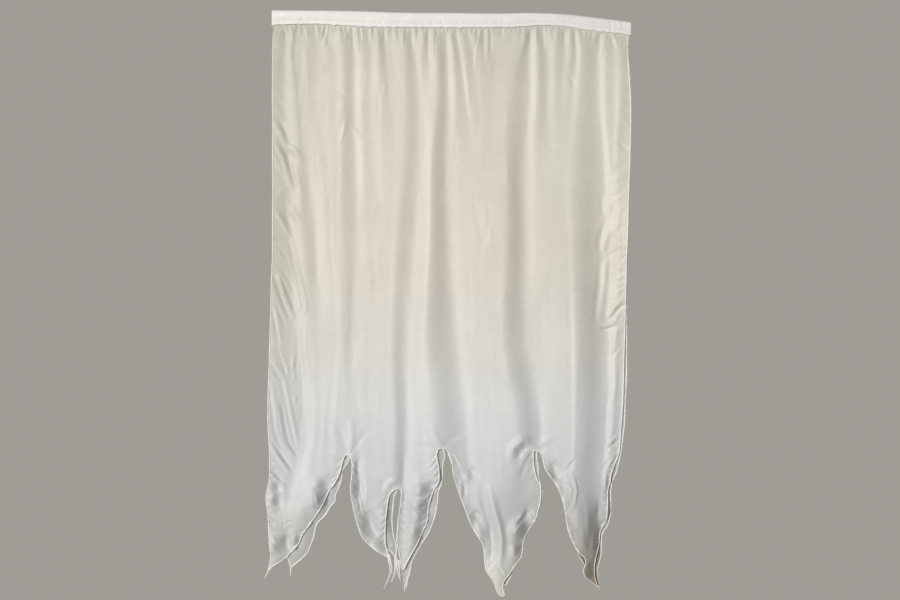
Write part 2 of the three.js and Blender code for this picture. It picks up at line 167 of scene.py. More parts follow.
def through(at, value, q):
    """A smooth curve through (at, value), read at q and level past both ends."""
    at, value, q = (np.asarray(v, float) for v in (at, value, q))
    if at[0] > at[-1]:
        at, value = at[::-1], value[::-1]
    index = np.arange(len(at))
    before, after = np.maximum(index - 1, 0), np.minimum(index + 1, len(at) - 1)
    slope = (value[after] - value[before]) / (at[after] - at[before])
    i = np.clip(np.searchsorted(at, q, side="right") - 1, 0, len(at) - 2)
    span = at[i + 1] - at[i]
    t = np.clip((q - at[i]) / span, 0, 1)
    return (
        (2 * t**3 - 3 * t**2 + 1) * value[i]
        + (t**3 - 2 * t**2 + t) * span * slope[i]
        + (3 * t**2 - 2 * t**3) * value[i + 1]
        + (t**3 - t**2) * span * slope[i + 1]
    )


def along(points, shares):
    """Points at shares of the way along a smooth path."""
    points = np.array(points, float)
    steps = np.sqrt((np.diff(points, axis=0) ** 2).sum(axis=1))
    travelled = np.concatenate([[0], np.cumsum(steps)])
    q = np.asarray(shares) * travelled[-1]
    return np.stack([through(travelled, points[:, k], q) for k in range(points.shape[1])], axis=-1)


# %% [markdown]
# ## Outline of the two panels
# Both panels are cut to one pattern, but they hang a little differently, so each has an outline of its
# own. Every point is (x, z) in millimetres from the middle of the casing's top edge. The two sides run
# down to the slits, and each tail has a left and a right edge from there to its point.

# %% Outline of the front panel
FRONT_OUTLINE = {
    "left": (
        (-337, -25), (-339, -59), (-339, -450), (-341, -507), (-343, -583), (-346, -678), (-348, -764),
        (-345, -834),
    ),
    "right": (
        (338, -40), (336, -70), (341, -165), (340, -260), (337, -336), (335, -412), (333, -469),
        (332, -564), (329, -697), (328, -735), (322, -819),
    ),
    "tails": (
        {
            "left": (
                (-345, -834), (-345, -887), (-351, -920), (-347, -954), (-345, -992), (-342, -1032),
                (-347, -1056),
            ),
            "right": (
                (-202, -840), (-206, -850), (-212, -873), (-222, -893), (-233, -908), (-240, -923),
                (-249, -941), (-261, -959), (-273, -976), (-282, -988), (-290, -1006), (-298, -1017),
                (-309, -1028), (-323, -1040), (-335, -1047), (-342, -1052), (-345, -1057),
            ),
        },
        {
            "left": (
                (-192, -841), (-189, -850), (-188, -869), (-190, -893), (-190, -912), (-187, -932),
                (-183, -951), (-177, -970), (-170, -990), (-163, -1000), (-152, -1011), (-138, -1021),
                (-127, -1028), (-120, -1032),
            ),
            "right": (
                (-106, -904), (-112, -908), (-117, -914), (-121, -928), (-123, -943), (-125, -966),
                (-126, -1005), (-124, -1015), (-118, -1033),
            ),
        },
        {
            "left": (
                (-96, -904), (-95, -916), (-97, -935), (-100, -955), (-102, -976), (-103, -1009),
                (-100, -1021), (-97, -1034), (-96, -1050), (-93, -1056),
            ),
            "right": (
                (-26, -829), (-28, -840), (-24, -866), (-24, -889), (-29, -899), (-36, -912), (-41, -928),
                (-44, -943), (-45, -957), (-48, -970), (-57, -990), (-66, -1009), (-76, -1027),
                (-85, -1044), (-90, -1056),
            ),
        },
        {
            "left": (
                (-12, -827), (-9, -830), (-3, -840), (1, -854), (3, -873), (9, -895), (16, -916),
                (25, -939), (34, -963), (43, -982), (54, -998), (60, -1009), (62, -1024), (63, -1040),
                (66, -1058), (75, -1071), (81, -1081), (85, -1094), (91, -1104), (95, -1107),
            ),
            "right": (
                (156, -832), (156, -854), (159, -873), (164, -889), (169, -895), (170, -912), (168, -932),
                (165, -943), (159, -961), (147, -984), (137, -1003), (135, -1021), (132, -1034),
                (118, -1052), (110, -1065), (99, -1079), (97, -1087), (97, -1092), (101, -1105),
            ),
        },
        {
            "left": (
                (169, -834), (174, -846), (177, -862), (186, -877), (197, -892), (206, -904), (211, -918),
                (213, -933), (216, -949), (218, -964), (221, -980), (227, -998), (236, -1015),
                (246, -1027), (251, -1031), (254, -1038), (254, -1046), (251, -1053), (250, -1061),
                (255, -1071), (264, -1079), (273, -1087), (280, -1091),
            ),
            "right": (
                (321, -823), (318, -842), (311, -858), (304, -877), (302, -893), (298, -904), (297, -932),
                (296, -951), (294, -966), (285, -986), (283, -998), (282, -1011), (276, -1030),
                (273, -1044), (272, -1059), (273, -1073), (276, -1085), (282, -1092),
            ),
        },
    ),
}

print("the front panel has", len(FRONT_OUTLINE["tails"]), "tails")

# %% [markdown]
# ## Outline of the back panel
# Only a strip of the back panel shows, in the slits and along the right edge. There its outline follows
# what shows, and elsewhere it lies just behind the front one, so that it doesn't peep out where it
# shouldn't.

# %% Outline of the back panel
BACK_OUTLINE = {
    "left": (
        (-336, -25), (-338, -59), (-338, -450), (-340, -507), (-341, -583), (-344, -678), (-346, -764),
        (-343, -834),
    ),
    "right": (
        (338, -40), (336, -70), (341, -165), (340, -260), (337, -336), (335, -412), (334, -469),
        (333, -564), (334, -631), (334, -697), (332, -735), (330, -783), (325, -823),
    ),
    "tails": (
        {
            "left": (
                (-343, -834), (-339, -906), (-328, -973), (-314, -1026), (-309, -1041), (-306, -1052),
            ),
            "right": (
                (-193, -841), (-195, -849), (-197, -854), (-203, -862), (-207, -869), (-209, -884),
                (-212, -895), (-218, -910), (-221, -917), (-222, -928), (-231, -939), (-241, -955),
                (-255, -969), (-259, -980), (-262, -995), (-268, -1011), (-273, -1024), (-284, -1036),
                (-296, -1046), (-304, -1053),
            ),
        },
        {
            "left": (
                (-188, -843), (-181, -906), (-166, -963), (-143, -1003), (-124, -1016), (-113, -1024),
                (-107, -1033),
            ),
            "right": (
                (-104, -906), (-109, -920), (-111, -935), (-113, -957), (-113, -966), (-112, -982),
                (-109, -999), (-106, -1011), (-105, -1022), (-105, -1033),
            ),
        },
        {
            "left": (
                (-93, -906), (-94, -963), (-95, -1020), (-93, -1056), (-91, -1074), (-89, -1092),
            ),
            "right": (
                (-16, -828), (-13, -840), (-17, -862), (-17, -875), (-19, -893), (-25, -910), (-26, -924),
                (-29, -943), (-32, -957), (-37, -972), (-45, -990), (-57, -1009), (-68, -1027),
                (-76, -1044), (-79, -1061), (-83, -1075), (-86, -1092),
            ),
        },
        {
            "left": (
                (-9, -828), (5, -868), (24, -925), (47, -978), (67, -1024), (86, -1062), (100, -1086),
            ),
            "right": (
                (162, -835), (163, -850), (166, -868), (165, -882), (171, -897), (173, -908), (172, -923),
                (169, -937), (161, -961), (147, -986), (131, -1016), (117, -1053), (114, -1069),
                (108, -1079), (104, -1087),
            ),
        },
        {
            "left": (
                (173, -836), (183, -868), (206, -910), (221, -963), (235, -1007), (239, -1021),
                (241, -1030), (247, -1038), (254, -1051), (265, -1070), (278, -1090),
            ),
            "right": (
                (325, -825), (322, -842), (319, -856), (314, -875), (306, -895), (304, -912), (304, -939),
                (303, -955), (298, -974), (289, -992), (287, -1007), (286, -1027), (283, -1042),
                (279, -1054), (278, -1061), (280, -1079), (283, -1091),
            ),
        },
    ),
}

print("the back panel has", len(BACK_OUTLINE["tails"]), "tails")

# %% [markdown]
# ## The casing's two edges
# The casing isn't quite straight: it dips to the right. Two curves give its upper and lower edge, and the
# gathered cloth starts from the lower one.

# %% The casing's two edges
CASING_TOP = (
    (-341, 5), (-187, 3.5), (-90, 0.5), (0, 0), (92, -1),
    (149, 0), (210, -2), (244, -5.5), (282, -10), (341, -17.5),
)
CASING_FOOT = (
    (-341, -23.5), (-307, -21.5), (-250, -21.5), (-155, -26.5), (-60, -27.5), (92, -27.5), (149, -25),
    (181, -23.5), (206, -24.5), (235, -28.5), (263, -33), (303, -37.5), (341, -42.5),
)


def casing_top(x):
    return through(*zip(*CASING_TOP), x)


def casing_foot(x):
    return through(*zip(*CASING_FOOT), x)


print("casing is", round(float(casing_top(0) - casing_foot(0)), 1), "mm high in the middle")

# %% [markdown]
# ## Main folds
# The gathers open out below the casing into soft folds that run the whole height. Each row follows one
# crest or hollow down the cloth: its x and how far it stands out, at eight heights. Between two
# neighbours the cloth goes over in a soft step. It also keeps its slope where it passes through a line,
# because a step that ended level at each line would show as a fine rib there. The folds are deeper
# further down.

# %% Main folds
FOLD_HEIGHTS = (-40, -80, -165, -279, -422, -621, -792, -925)
FOLDS = (
    ("left hem", (-339, -339, -339, -339, -339, -343, -349, -349), (1.2, 1.4, 1.6, 1.8, 2, 2, 2, 1.6)),
    ("crest", (-330, -333, -333, -333, -332, -328, -322, -322), (1, 1, 1, 1.3, 1.1, 0.8, 0.5, 0.4)),
    ("hollow", (-314, -316, -318, -310, -305, -299, -278, -303), (-1.4, -1.2, -1, -1.7, -1.6, -1.6, -1.5, 0)),
    ("crest", (-301, -305, -295, -290, -282, -267, -258, -288), (1.2, 1.2, 1.6, 0.9, 1.6, 1.6, 0.9, 0.5)),
    ("hollow", (-295, -296, -289, -278, -259, -252, -250, -271), (0.4, -0.2, 1, -0.6, -1.3, 1.5, 0.9, 0.6)),
    ("crest", (-269, -275, -267, -246, -238, -227, -241, -246), (1.6, 1.6, 1.2, 1.4, 1.6, 1.8, 1.4, 1.2)),
    ("hollow", (-257, -254, -257, -238, -231, -219, -235, -235), (0.2, 0.6, 1, 1.4, 1.7, 1.9, 1.2, 1)),
    ("crest", (-248, -235, -231, -225, -223, -214, -219, -219), (1.4, 1.6, 1.8, 2.2, 2.4, 2.2, 1.9, 1.4)),
    ("hollow", (-238, -223, -221, -219, -218, -212, -212, -212), (-0.6, 1.3, 1.7, 2.3, 2.5, 2.3, 1.6, 1.2)),
    ("crest", (-210, -206, -206, -212, -210, -208, -200, -200), (2.6, 3, 3.2, 3, 3, 2.4, 1.4, 1.2)),
    ("hollow", (-187, -185, -185, -183, -180, -189, -189, -189), (-1.4, -1.8, -2.2, -2.4, -0.6, 0.6, 1.4, 1.2)),
    ("crest", (-172, -170, -170, -166, -162, -166, -174, -174), (1.2, 1.3, 1, 0.6, 0.6, 1.2, 1.4, 1.1)),
    ("hollow", (-157, -153, -155, -151, -147, -151, -155, -162), (0.2, 0.1, 0.1, 0, 0.9, 1.4, 1.5, 0.8)),
    ("crest", (-142, -138, -136, -128, -124, -132, -136, -140), (1.8, 2.2, 2.2, 1.8, 1.9, 2.2, 1.9, 1.4)),
    ("hollow", (-128, -124, -117, -115, -115, -121, -124, -124), (-1.4, -1.5, 0.8, 1.8, 2.2, 2.6, 2.2, 1.8)),
    ("crest", (-94, -88, -88, -90, -104, -113, -109, -115), (2.2, 2.6, 3, 3, 3, 3, 2.8, 2)),
    ("hollow", (-77, -71, -62, -64, -73, -88, -85, -92), (-2.2, -1.8, -1.8, -1.6, -1.4, -0.8, -1.7, -1.6)),
    ("crest", (-52, -56, -52, -54, -58, -71, -69, -75), (1.2, 0.6, -0.4, -0.2, 0.4, 0.6, 0, 0.2)),
    ("hollow", (-44, -45, -45, -47, -48, -58, -54, -58), (-1.6, -0.4, 0.9, 1.5, 2, 1.8, 1.1, 0.8)),
    ("crest", (-33, -28, -28, -38, -40, -47, -33, -41), (1.4, 3, 3, 3.6, 3.8, 3, 2.5, 2.2)),
    ("hollow", (-10, -9, -7, -9, -5, 7, 26, 35), (-2.6, -3.4, -4, -5.6, -6.2, -6, -5.4, -3.2)),
    ("crest", (-2, 4, 9, 14, 18, 28, 47, 50), (0.6, 0.5, -0.4, -2.8, -3.4, -3.4, -2.7, -1.8)),
    ("hollow", (8, 16, 26, 35, 39, 50, 64, 62), (-2.6, -2.4, -2.2, -0.8, -1, -1, -1.1, -0.8)),
    ("crest", (20, 27, 35, 54, 58, 66, 77, 71), (1.2, 1, 0.2, 1, 1, 0.4, 0.2, 0.2)),
    ("hollow", (31, 39, 48, 62, 67, 75, 86, 79), (-0.4, -0.6, 0, 1.7, 1.8, 1.2, 1, 0.9)),
    ("crest", (42, 52, 62, 69, 75, 83, 96, 85), (1.4, 1.4, 1.4, 2.5, 2.5, 1.9, 1.7, 1.2)),
    ("hollow", (65, 77, 73, 77, 83, 91, 107, 90), (-2.2, -0.8, 1.4, 3.2, 3.2, 2.6, 2.4, 1)),
    ("crest", (140, 128, 109, 104, 104, 98, 124, 107), (3.2, 3.6, 4, 5.2, 4.8, 3.2, 3, 0.2)),
    ("hollow", (151, 147, 147, 139, 140, 143, 169, 145), (-1.6, -2.6, -4, -5, -5.6, -5, -5, -2.4)),
    ("crest", (159, 163, 163, 161, 164, 170, 180, 187), (1.2, 2, 1.6, -1, -1.8, -3.2, -3.2, -1)),
    ("hollow", (172, 181, 182, 183, 183, 183, 191, 199), (-2.2, -2, -2, 0.4, 0.2, -1.7, -1.8, -0.6)),
    ("crest", (200, 198, 199, 199, 200, 199, 202, 206), (1.6, 1.4, 0.8, 2, 1.8, 0.2, -0.5, 0.6)),
    ("hollow", (215, 214, 208, 208, 208, 210, 212, 212), (-1, -0.8, 0.6, 2.8, 2.5, 1.4, 0.5, 1)),
    ("crest", (226, 226, 221, 218, 218, 221, 221, 219), (1.2, 1.4, 1.4, 3.8, 3.4, 2.6, 1.4, 2.2)),
    ("hollow", (235, 236, 227, 221, 221, 227, 227, 223), (-0.8, -0.6, 1.2, 4.2, 3.8, 3.1, 1.9, 2.6)),
    ("crest", (244, 246, 242, 231, 231, 235, 235, 227), (2.2, 3, 3.6, 5.2, 5, 4.6, 3.2, 3.5)),
    ("hollow", (280, 279, 279, 288, 288, 297, 295, 278), (-3.6, -4.2, -4.5, -6.4, -8, -9.2, -7.4, -5)),
    ("crest", (294, 294, 294, 301, 314, 314, 307, 290), (0.3, 0, -0.3, -1.2, 0, -5, -4.9, -4)),
    ("hollow", (301, 305, 307, 307, 314, 319, 315, 297), (-0.4, -0.4, -0.6, -0.4, 1.6, -5.6, -6, -4.2)),
    ("crest", (320, 322, 321, 315, 322, 324, 319, 301), (1.6, 2.2, 2.8, 2, 3, -5.7, -6.3, -4.2)),
    ("right hem", (339, 337, 341, 339, 335, 332, 324, 305), (0.4, -0.2, -0.2, 2.5, 5.8, -5.5, -6.1, -4.2)),
)
FOLD_DEPTHS = (0.72, 0.72, 0.74, 0.82, 1.05, 1.42, 1.62, 1.65)


def fold_relief(x, z):
    """How far the main folds stand out to the front at each point, in millimetres.

    The slope through a line is a mean of the slopes beside it, and is level at a crest or a hollow.
    """
    line_x = np.stack([through(FOLD_HEIGHTS, xs, z) for _, xs, _ in FOLDS])
    line_out = np.stack([through(FOLD_HEIGHTS, outs, z) for _, _, outs in FOLDS])
    falls = np.diff(line_out, axis=0) / np.maximum(np.diff(line_x, axis=0), 1.0)
    before, after = falls[:-1], falls[1:]
    same_way = before * after > 0
    slopes = np.zeros_like(line_out)
    slopes[1:-1] = np.where(same_way, 2 * before * after / np.where(same_way, before + after, 1), 0)
    following = np.clip((line_x <= x).sum(axis=0), 1, len(FOLDS) - 1)

    def ends(table):
        """The values on the two lines that each point lies between."""
        return tuple(np.take_along_axis(table, row[None], 0)[0] for row in (following - 1, following))

    left, right = ends(line_x)
    left_out, right_out = ends(line_out)
    left_slope, right_slope = ends(slopes)
    width = np.maximum(right - left, 1.0)
    t = np.clip((x - left) / width, 0, 1)
    out = mix(left_out, right_out, smooth(t))
    out = out + width * t * (1 - t) * ((1 - t) * left_slope - t * right_slope)
    return through(FOLD_HEIGHTS, FOLD_DEPTHS, z) * out


print(len(FOLDS), "fold lines")

# %% [markdown]
# ## Slanting folds and creases
# The hems pull the side edges into short slanting folds, and every slit and tail has its own creases. It
# is these that make this flag look like itself. Each row is the path of one crease, its half width and an
# amount. In CREASES the amount is how far it stands out, so a negative one is a trough. In SLANTS it says
# how steeply the cloth falls away across the line, which gives a facet that is light on one side and dark
# on the other.

# %% Slanting folds and creases
CREASES = (
    # left side
    (((-337, -63), (-307, -70)), 4.8, 0.5),
    (((-333, -89), (-307, -101)), 4.8, -0.7),
    (((-335, -131), (-318, -150)), 3.8, -0.6),
    (((-335, -162), (-318, -184)), 3.8, -0.6),
    (((-339, -264), (-320, -302), (-307, -331)), 3.8, 0.8),
    (((-305, -331), (-320, -336), (-332, -350)), 5.7, 0.8),
    # right side
    (((335, -139), (322, -133)), 3.4, -1),
    (((335, -162), (322, -156)), 3.4, -1),
    (((335, -188), (320, -180)), 3.8, -1.1),
    (((333, -218), (318, -209)), 4.8, -1.4),
    (((335, -238), (316, -224)), 4.8, -1.6),
    (((335, -264), (316, -243)), 5.7, -2.1),
    (((333, -281), (309, -302)), 5.7, -1.3),
    (((333, -308), (305, -317)), 4.8, 1.4),
    # small marks
    (((-201, -205), (-204, -224), (-209, -243)), 2.8, 1.8),
    (((-190, -217), (-181, -226), (-172, -239)), 2.5, 1.8),
    (((-212, -293), (-202, -304)), 2.1, 1.2),
    (((-143, -142), (-138, -173), (-140, -211)), 2.7, -0.8),
    (((102, -180), (105, -200), (101, -218), (104, -241)), 2.3, 0.5),
    (((105, -260), (102, -279), (107, -302), (104, -329)), 2.3, 0.5),
    (((-130, -124), (-126, -142), (-130, -162)), 2.5, 1),
    (((-254, -106), (-237, -104)), 3.8, 1),
    (((-256, -162), (-240, -162)), 3.4, 0.7),
    (((-256, -180), (-240, -182)), 3.4, 0.8),
    (((-257, -281), (-246, -277)), 3.4, 0.6),
    (((-216, -150), (-189, -167)), 2.8, -1.2),
    (((221, -114), (233, -139)), 2.5, -1.8),
    (((286, -94), (316, -94)), 1.7, 0.6),
    (((-231, -773), (-126, -796), (-29, -823)), 2.5, 0.8),
    (((31, -830), (60, -849)), 1.9, 0.8),
    (((216, -868), (235, -846)), 2.5, -1.6),
    # slit between tails one and two
    (((-193, -842), (-206, -811), (-218, -777)), 6.6, -1.6),
    (((-193, -842), (-189, -808), (-191, -770)), 6.6, 2.2),
    (((-191, -840), (-174, -811), (-159, -792)), 5.7, -1.4),
    (((-206, -846), (-223, -853)), 4.8, -1.4),
    (((-233, -861), (-238, -884)), 7.6, 1.4),
    (((-202, -844), (-227, -834)), 3.8, 1.3),
    # slit in the second tail
    (((-126, -908), (-119, -893), (-105, -887), (-94, -891)), 4.8, 2.9),
    (((-119, -902), (-104, -899)), 3.8, -2.2),
    (((-136, -887), (-124, -899)), 5.7, -1.4),
    (((-94, -895), (-90, -868), (-92, -840)), 5.7, -2.2),
    (((-136, -868), (-121, -876)), 5.7, 0.9),
    # slit between tails three and four
    (((-22, -826), (-45, -823), (-71, -819)), 3.4, -1.6),
    (((-20, -825), (-29, -804), (-41, -781)), 4.8, 1.3),
    (((-16, -825), (1, -809), (24, -798)), 5.7, -1.6),
    (((-22, -830), (-33, -842)), 3.8, 1.4),
    # slit between tails four and five
    (((155, -830), (143, -840), (130, -861)), 3.8, 1.6),
    (((130, -884), (143, -851)), 3.8, -1.8),
    (((161, -828), (178, -813), (195, -808)), 5.7, 1.3),
    (((162, -830), (180, -828)), 3.8, -1.3),
)
SLANTS = (
    # left side
    (((-333, -203), (-320, -226), (-309, -253)), 6.8, 0.52),
    (((-328, -249), (-316, -274), (-309, -298), (-299, -332)), 6.8, 0.6),
    (((-314, -255), (-303, -266), (-290, -279)), 9.5, -0.44),
    (((-303, -291), (-294, -317), (-290, -340)), 5.7, -0.4),
    (((-311, -367), (-305, -382), (-295, -399)), 9.5, -0.48),
    (((-330, -374), (-316, -397), (-305, -420)), 6.5, 0.56),
    (((-307, -429), (-295, -479), (-283, -534), (-278, -560), (-286, -576)), 4.2, -1),
    (((-335, -443), (-314, -467)), 3, 0.8),
    (((-335, -479), (-316, -500), (-303, -530)), 3, 0.9),
    (((-332, -502), (-320, -538), (-305, -576)), 5.7, -1.8),
    (((-339, -553), (-326, -576), (-318, -602)), 3, 1),
    (((-337, -560), (-332, -591), (-326, -627)), 3.8, -1),
    (((-330, -633), (-314, -676), (-313, -688)), 3.4, -0.9),
    (((-341, -663), (-330, -680), (-318, -699)), 4.9, -1),
    (((-320, -699), (-309, -754), (-301, -792), (-294, -821)), 4.9, -1),
    (((-342, -714), (-337, -754), (-333, -792), (-322, -823), (-309, -842)), 4.6, -1),
    (((-327, -735), (-320, -783), (-311, -823)), 5.7, 0.8),
    (((-341, -825), (-328, -846), (-314, -866)), 3.8, -0.9),
    (((-298, -652), (-298, -680)), 4.6, 0.7),
    (((-309, -666), (-294, -664)), 3, -0.5),
    (((-297, -682), (-295, -697)), 4.2, 0.6),
    (((-295, -728), (-294, -739)), 4.2, 0.6),
    (((-285, -581), (-285, -636), (-277, -688), (-277, -792)), 9.5, -0.3),
    # right side
    (((297, -353), (316, -350), (335, -332)), 4.8, -0.4),
    (((324, -353), (334, -345)), 3, -0.7),
    (((319, -382), (331, -369)), 3, 0.7),
    (((324, -405), (331, -397)), 3, 0.7),
    (((306, -359), (306, -384)), 7.6, 0.44),
    (((290, -348), (292, -382)), 6.6, -0.4),
    (((299, -397), (290, -424), (284, -446)), 8.5, -0.56),
    (((307, -424), (318, -401)), 5.7, 0.44),
    (((286, -439), (288, -456)), 6.6, -0.5),
    (((295, -453), (311, -445), (328, -434)), 3, -0.9),
    (((297, -457), (314, -450), (322, -445)), 3, 1.2),
    (((332, -445), (322, -452)), 3, 0.8),
    (((332, -458), (320, -466)), 3, 0.8),
    (((332, -471), (320, -481)), 3, 0.8),
    (((331, -484), (316, -492)), 3, 0.8),
    (((331, -500), (316, -509)), 3, 0.8),
    (((331, -515), (314, -521)), 3, 0.8),
    (((331, -524), (316, -532)), 3, 0.8),
    (((305, -492), (314, -483), (327, -475)), 3, -0.8),
    (((305, -494), (310, -505), (322, -498)), 3, -0.6),
    (((298, -473), (296, -492), (299, -515)), 6.6, 0.4),
    (((290, -462), (288, -490), (286, -522), (280, -568), (279, -587)), 8.5, -0.48),
    (((297, -553), (314, -547), (328, -536)), 3, -0.8),
    (((301, -581), (313, -562), (327, -550)), 6.1, 1.2),
    (((308, -585), (318, -566), (327, -559)), 3, -1),
    (((286, -597), (297, -598), (314, -590)), 5.7, 1.6),
    (((276, -594), (285, -603), (297, -605), (303, -600)), 3, -0.9),
    (((314, -590), (327, -578)), 3, -0.7),
    (((302, -659), (306, -629), (310, -613), (317, -594)), 3.8, -0.56),
    (((305, -660), (314, -646), (323, -637)), 3, -0.9),
    (((321, -638), (327, -643)), 3, 0.9),
    (((305, -650), (314, -638)), 3, 0.7),
    (((320, -610), (327, -604)), 3, 0.6),
    (((320, -621), (327, -616)), 3, 0.6),
    (((311, -671), (309, -711), (299, -751), (297, -806)), 5.7, -0.32),
    (((294, -825), (311, -805), (318, -798)), 3, -1),
    (((297, -823), (313, -813)), 4.8, 1.2),
    (((314, -836), (305, -861)), 4.8, 0.7),
    (((301, -853), (292, -868)), 4.2, -0.6),
    # first tail
    (((-341, -819), (-324, -844), (-305, -870)), 4.9, 1.45),
    (((-314, -813), (-305, -828), (-295, -842)), 4.2, 1.16),
    (((-343, -870), (-328, -885), (-314, -899)), 4.8, 1.16),
    (((-336, -889), (-335, -908)), 10.8, 0.95),
    (((-334, -912), (-334, -939)), 10.8, 1.05),
    (((-250, -904), (-247, -925), (-248, -940)), 18.1, 1.16),
    (((-242, -885), (-248, -906)), 14.4, 0.63),
    (((-259, -912), (-254, -935)), 3.4, -1.3),
    (((-317, -958), (-316, -971), (-301, -967)), 2.5, -1.16),
    (((-324, -988), (-324, -1028)), 19.9, 1.05),
    (((-306, -990), (-306, -1011)), 10.8, -0.84),
    (((-296, -992), (-296, -1013)), 10.8, 0.84),
    (((-197, -825), (-190, -840)), 2.5, -1.16),
    (((-190, -840), (-180, -825)), 2.5, -1.16),
    (((-282, -868), (-292, -925), (-307, -963)), 25.3, -0.32),
    # second tail
    (((-183, -840), (-182, -868), (-181, -906), (-176, -954)), 10.8, 0.73),
    (((-181, -847), (-181, -876)), 4.8, 0.87),
    (((-182, -889), (-182, -916)), 12.6, 0.84),
    (((-176, -914), (-169, -952)), 2.8, -1.3),
    (((-172, -950), (-162, -978), (-151, -1003)), 16.2, 1.16),
    (((-145, -996), (-134, -1009), (-124, -1022)), 14.4, 1.05),
    (((-142, -940), (-140, -988)), 21.7, -0.63),
    # third tail
    (((-92, -908), (-92, -931)), 4.8, 1.01),
    (((-52, -889), (-48, -916)), 18.1, 1.16),
    (((-54, -920), (-57, -958)), 18.1, 1.16),
    (((-62, -971), (-66, -1003)), 14.4, 1.05),
    (((-75, -952), (-58, -948)), 10.8, -0.73),
    (((-37, -851), (-24, -855)), 3, 1.01),
    (((-37, -861), (-22, -864)), 3, -1.01),
    (((-37, -872), (-22, -878)), 3.4, 1.16),
    # fourth tail
    (((119, -846), (124, -828), (138, -818), (149, -821)), 11.6, 1.16),
    (((143, -817), (151, -823), (156, -830)), 2.3, -1.16),
    (((126, -847), (138, -834), (153, -829)), 3.4, -1.3),
    (((-10, -828), (7, -844), (20, -868)), 2.8, -1.16),
    (((29, -872), (41, -882)), 10.8, 0.95),
    (((21, -895), (22, -918)), 4.8, 1.3),
    (((35, -950), (47, -967)), 12.6, 1.37),
    (((60, -971), (66, -1016)), 14.4, 1.16),
    (((66, -910), (73, -944), (83, -973), (87, -1001), (85, -1030), (83, -1043)), 11.6, -1.26),
    (((83, -1043), (71, -1056)), 3.8, -1.16),
    (((86, -1043), (102, -1068)), 3.8, -1.16),
    (((143, -948), (130, -961), (115, -977)), 4.8, 1.3),
    (((140, -965), (128, -998)), 18.1, 1.37),
    (((155, -942), (147, -969)), 12.6, -0.95),
    (((126, -1007), (126, -1032)), 12.6, 1.05),
    # fifth tail
    (((181, -861), (199, -882)), 16.2, 1.16),
    (((231, -849), (216, -868)), 2.5, 1.16),
    (((217, -870), (200, -891)), 2.8, -1.16),
    (((210, -887), (221, -897)), 2.5, -1.01),
    (((218, -868), (230, -887), (234, -906), (230, -929), (220, -948)), 4.2, -1.45),
    (((223, -958), (231, -977), (239, -996)), 3.4, -1.45),
    (((265, -935), (267, -982), (265, -1028)), 21.7, 1.05),
    (((242, -931), (244, -973), (250, -1013)), 10.8, 0.63),
    (((284, -967), (278, -1001), (276, -1026)), 10.8, 0.73),
    (((259, -1043), (263, -1081)), 12.6, 0.53),
    (((183, -868), (199, -895)), 10.8, 0.63),
    (((290, -925), (288, -965)), 10.8, -0.84),
    (((296, -878), (296, -901)), 4.8, 1.3),
    (((292, -825), (313, -806)), 2.8, -1.16),
)
DOWNHILL = np.array((0.9, -0.4))
CREASE_REACH = 3
FAR_OFF = 1e9
TAPER_FROM, TAPER_SPAN = 0.08, 0.84


def crease_relief(x, z, creases, slanting=False):
    """Adds up narrow folds, each along a drawn line and weaker towards its ends.

    Nothing is worked out much further from a line than CREASE_REACH half widths. With slanting=True the
    amount is how steeply the cloth falls away across the line, in the direction nearer to DOWNHILL.
    """
    total = np.zeros_like(x)
    for path, half_width, amount in creases:
        line = np.array(path, dtype=float)
        low, high = line.min(axis=0) - CREASE_REACH * half_width, line.max(axis=0) + CREASE_REACH * half_width
        near = (x > low[0]) & (x < high[0]) & (z > low[1]) & (z < high[1])
        if not near.any():
            continue
        px, pz = x[near], z[near]
        nearest = np.full(px.shape, FAR_OFF)
        place = np.zeros_like(px)
        side = np.zeros_like(px)
        for number, (start, end) in enumerate(zip(line, line[1:])):
            span = end - start
            normal = np.array((-span[1], span[0])) / math.hypot(*span)
            normal = normal * (1 if normal @ DOWNHILL > 0 else -1)
            t = np.clip(((px - start[0]) * span[0] + (pz - start[1]) * span[1]) / (span @ span), 0, 1)
            off_x, off_z = px - start[0] - t * span[0], pz - start[1] - t * span[1]
            distance = np.hypot(off_x, off_z)
            closer = distance < nearest
            nearest = np.where(closer, distance, nearest)
            place = np.where(closer, (number + t) / (len(line) - 1), place)
            side = np.where(closer, off_x * normal[0] + off_z * normal[1], side)
        taper = np.sin(np.pi * (TAPER_FROM + TAPER_SPAN * place))
        reach = nearest / half_width
        relief = -side * np.exp(-(reach**3)) if slanting else np.exp(-(reach**2))
        total[near] += amount * taper * relief
    return total


print(len(CREASES), "creases and", len(SLANTS), "slanting folds")

# %% [markdown]
# ## Soft wrinkles
# Thin satin is never quite smooth between its folds. Shallow wrinkles, long, nearly upright and strewn by
# a seeded random generator, break up the even shading. None of them stands for one wrinkle of the real
# flag.

# %% Soft wrinkles
SOFT_WRINKLES = {
    "count": 170,
    "x": (-325, 325),
    "top": (-800, -50),
    "reach": (35, 130),
    "bend": (-4, 4),
    "drift": (-12, 12),
    "half_width": (3.0, 7.0),
    "out": (0.12, 0.42),
}


def soft_wrinkles(rng):
    """Seeded shallow wrinkles all over the body, nearly upright, ridge and trough by turns."""
    rows = []
    for number in range(SOFT_WRINKLES["count"]):
        x, top = rng.uniform(*SOFT_WRINKLES["x"]), rng.uniform(*SOFT_WRINKLES["top"])
        reach = rng.uniform(*SOFT_WRINKLES["reach"])
        middle_x = x + rng.uniform(*SOFT_WRINKLES["bend"])
        foot_x = x + rng.uniform(*SOFT_WRINKLES["drift"])
        path = ((x, top), (middle_x, top - reach / 2), (foot_x, top - reach))
        out = rng.uniform(*SOFT_WRINKLES["out"]) * (1 if number % 2 else -1)
        rows.append((path, rng.uniform(*SOFT_WRINKLES["half_width"]), out))
    return rows


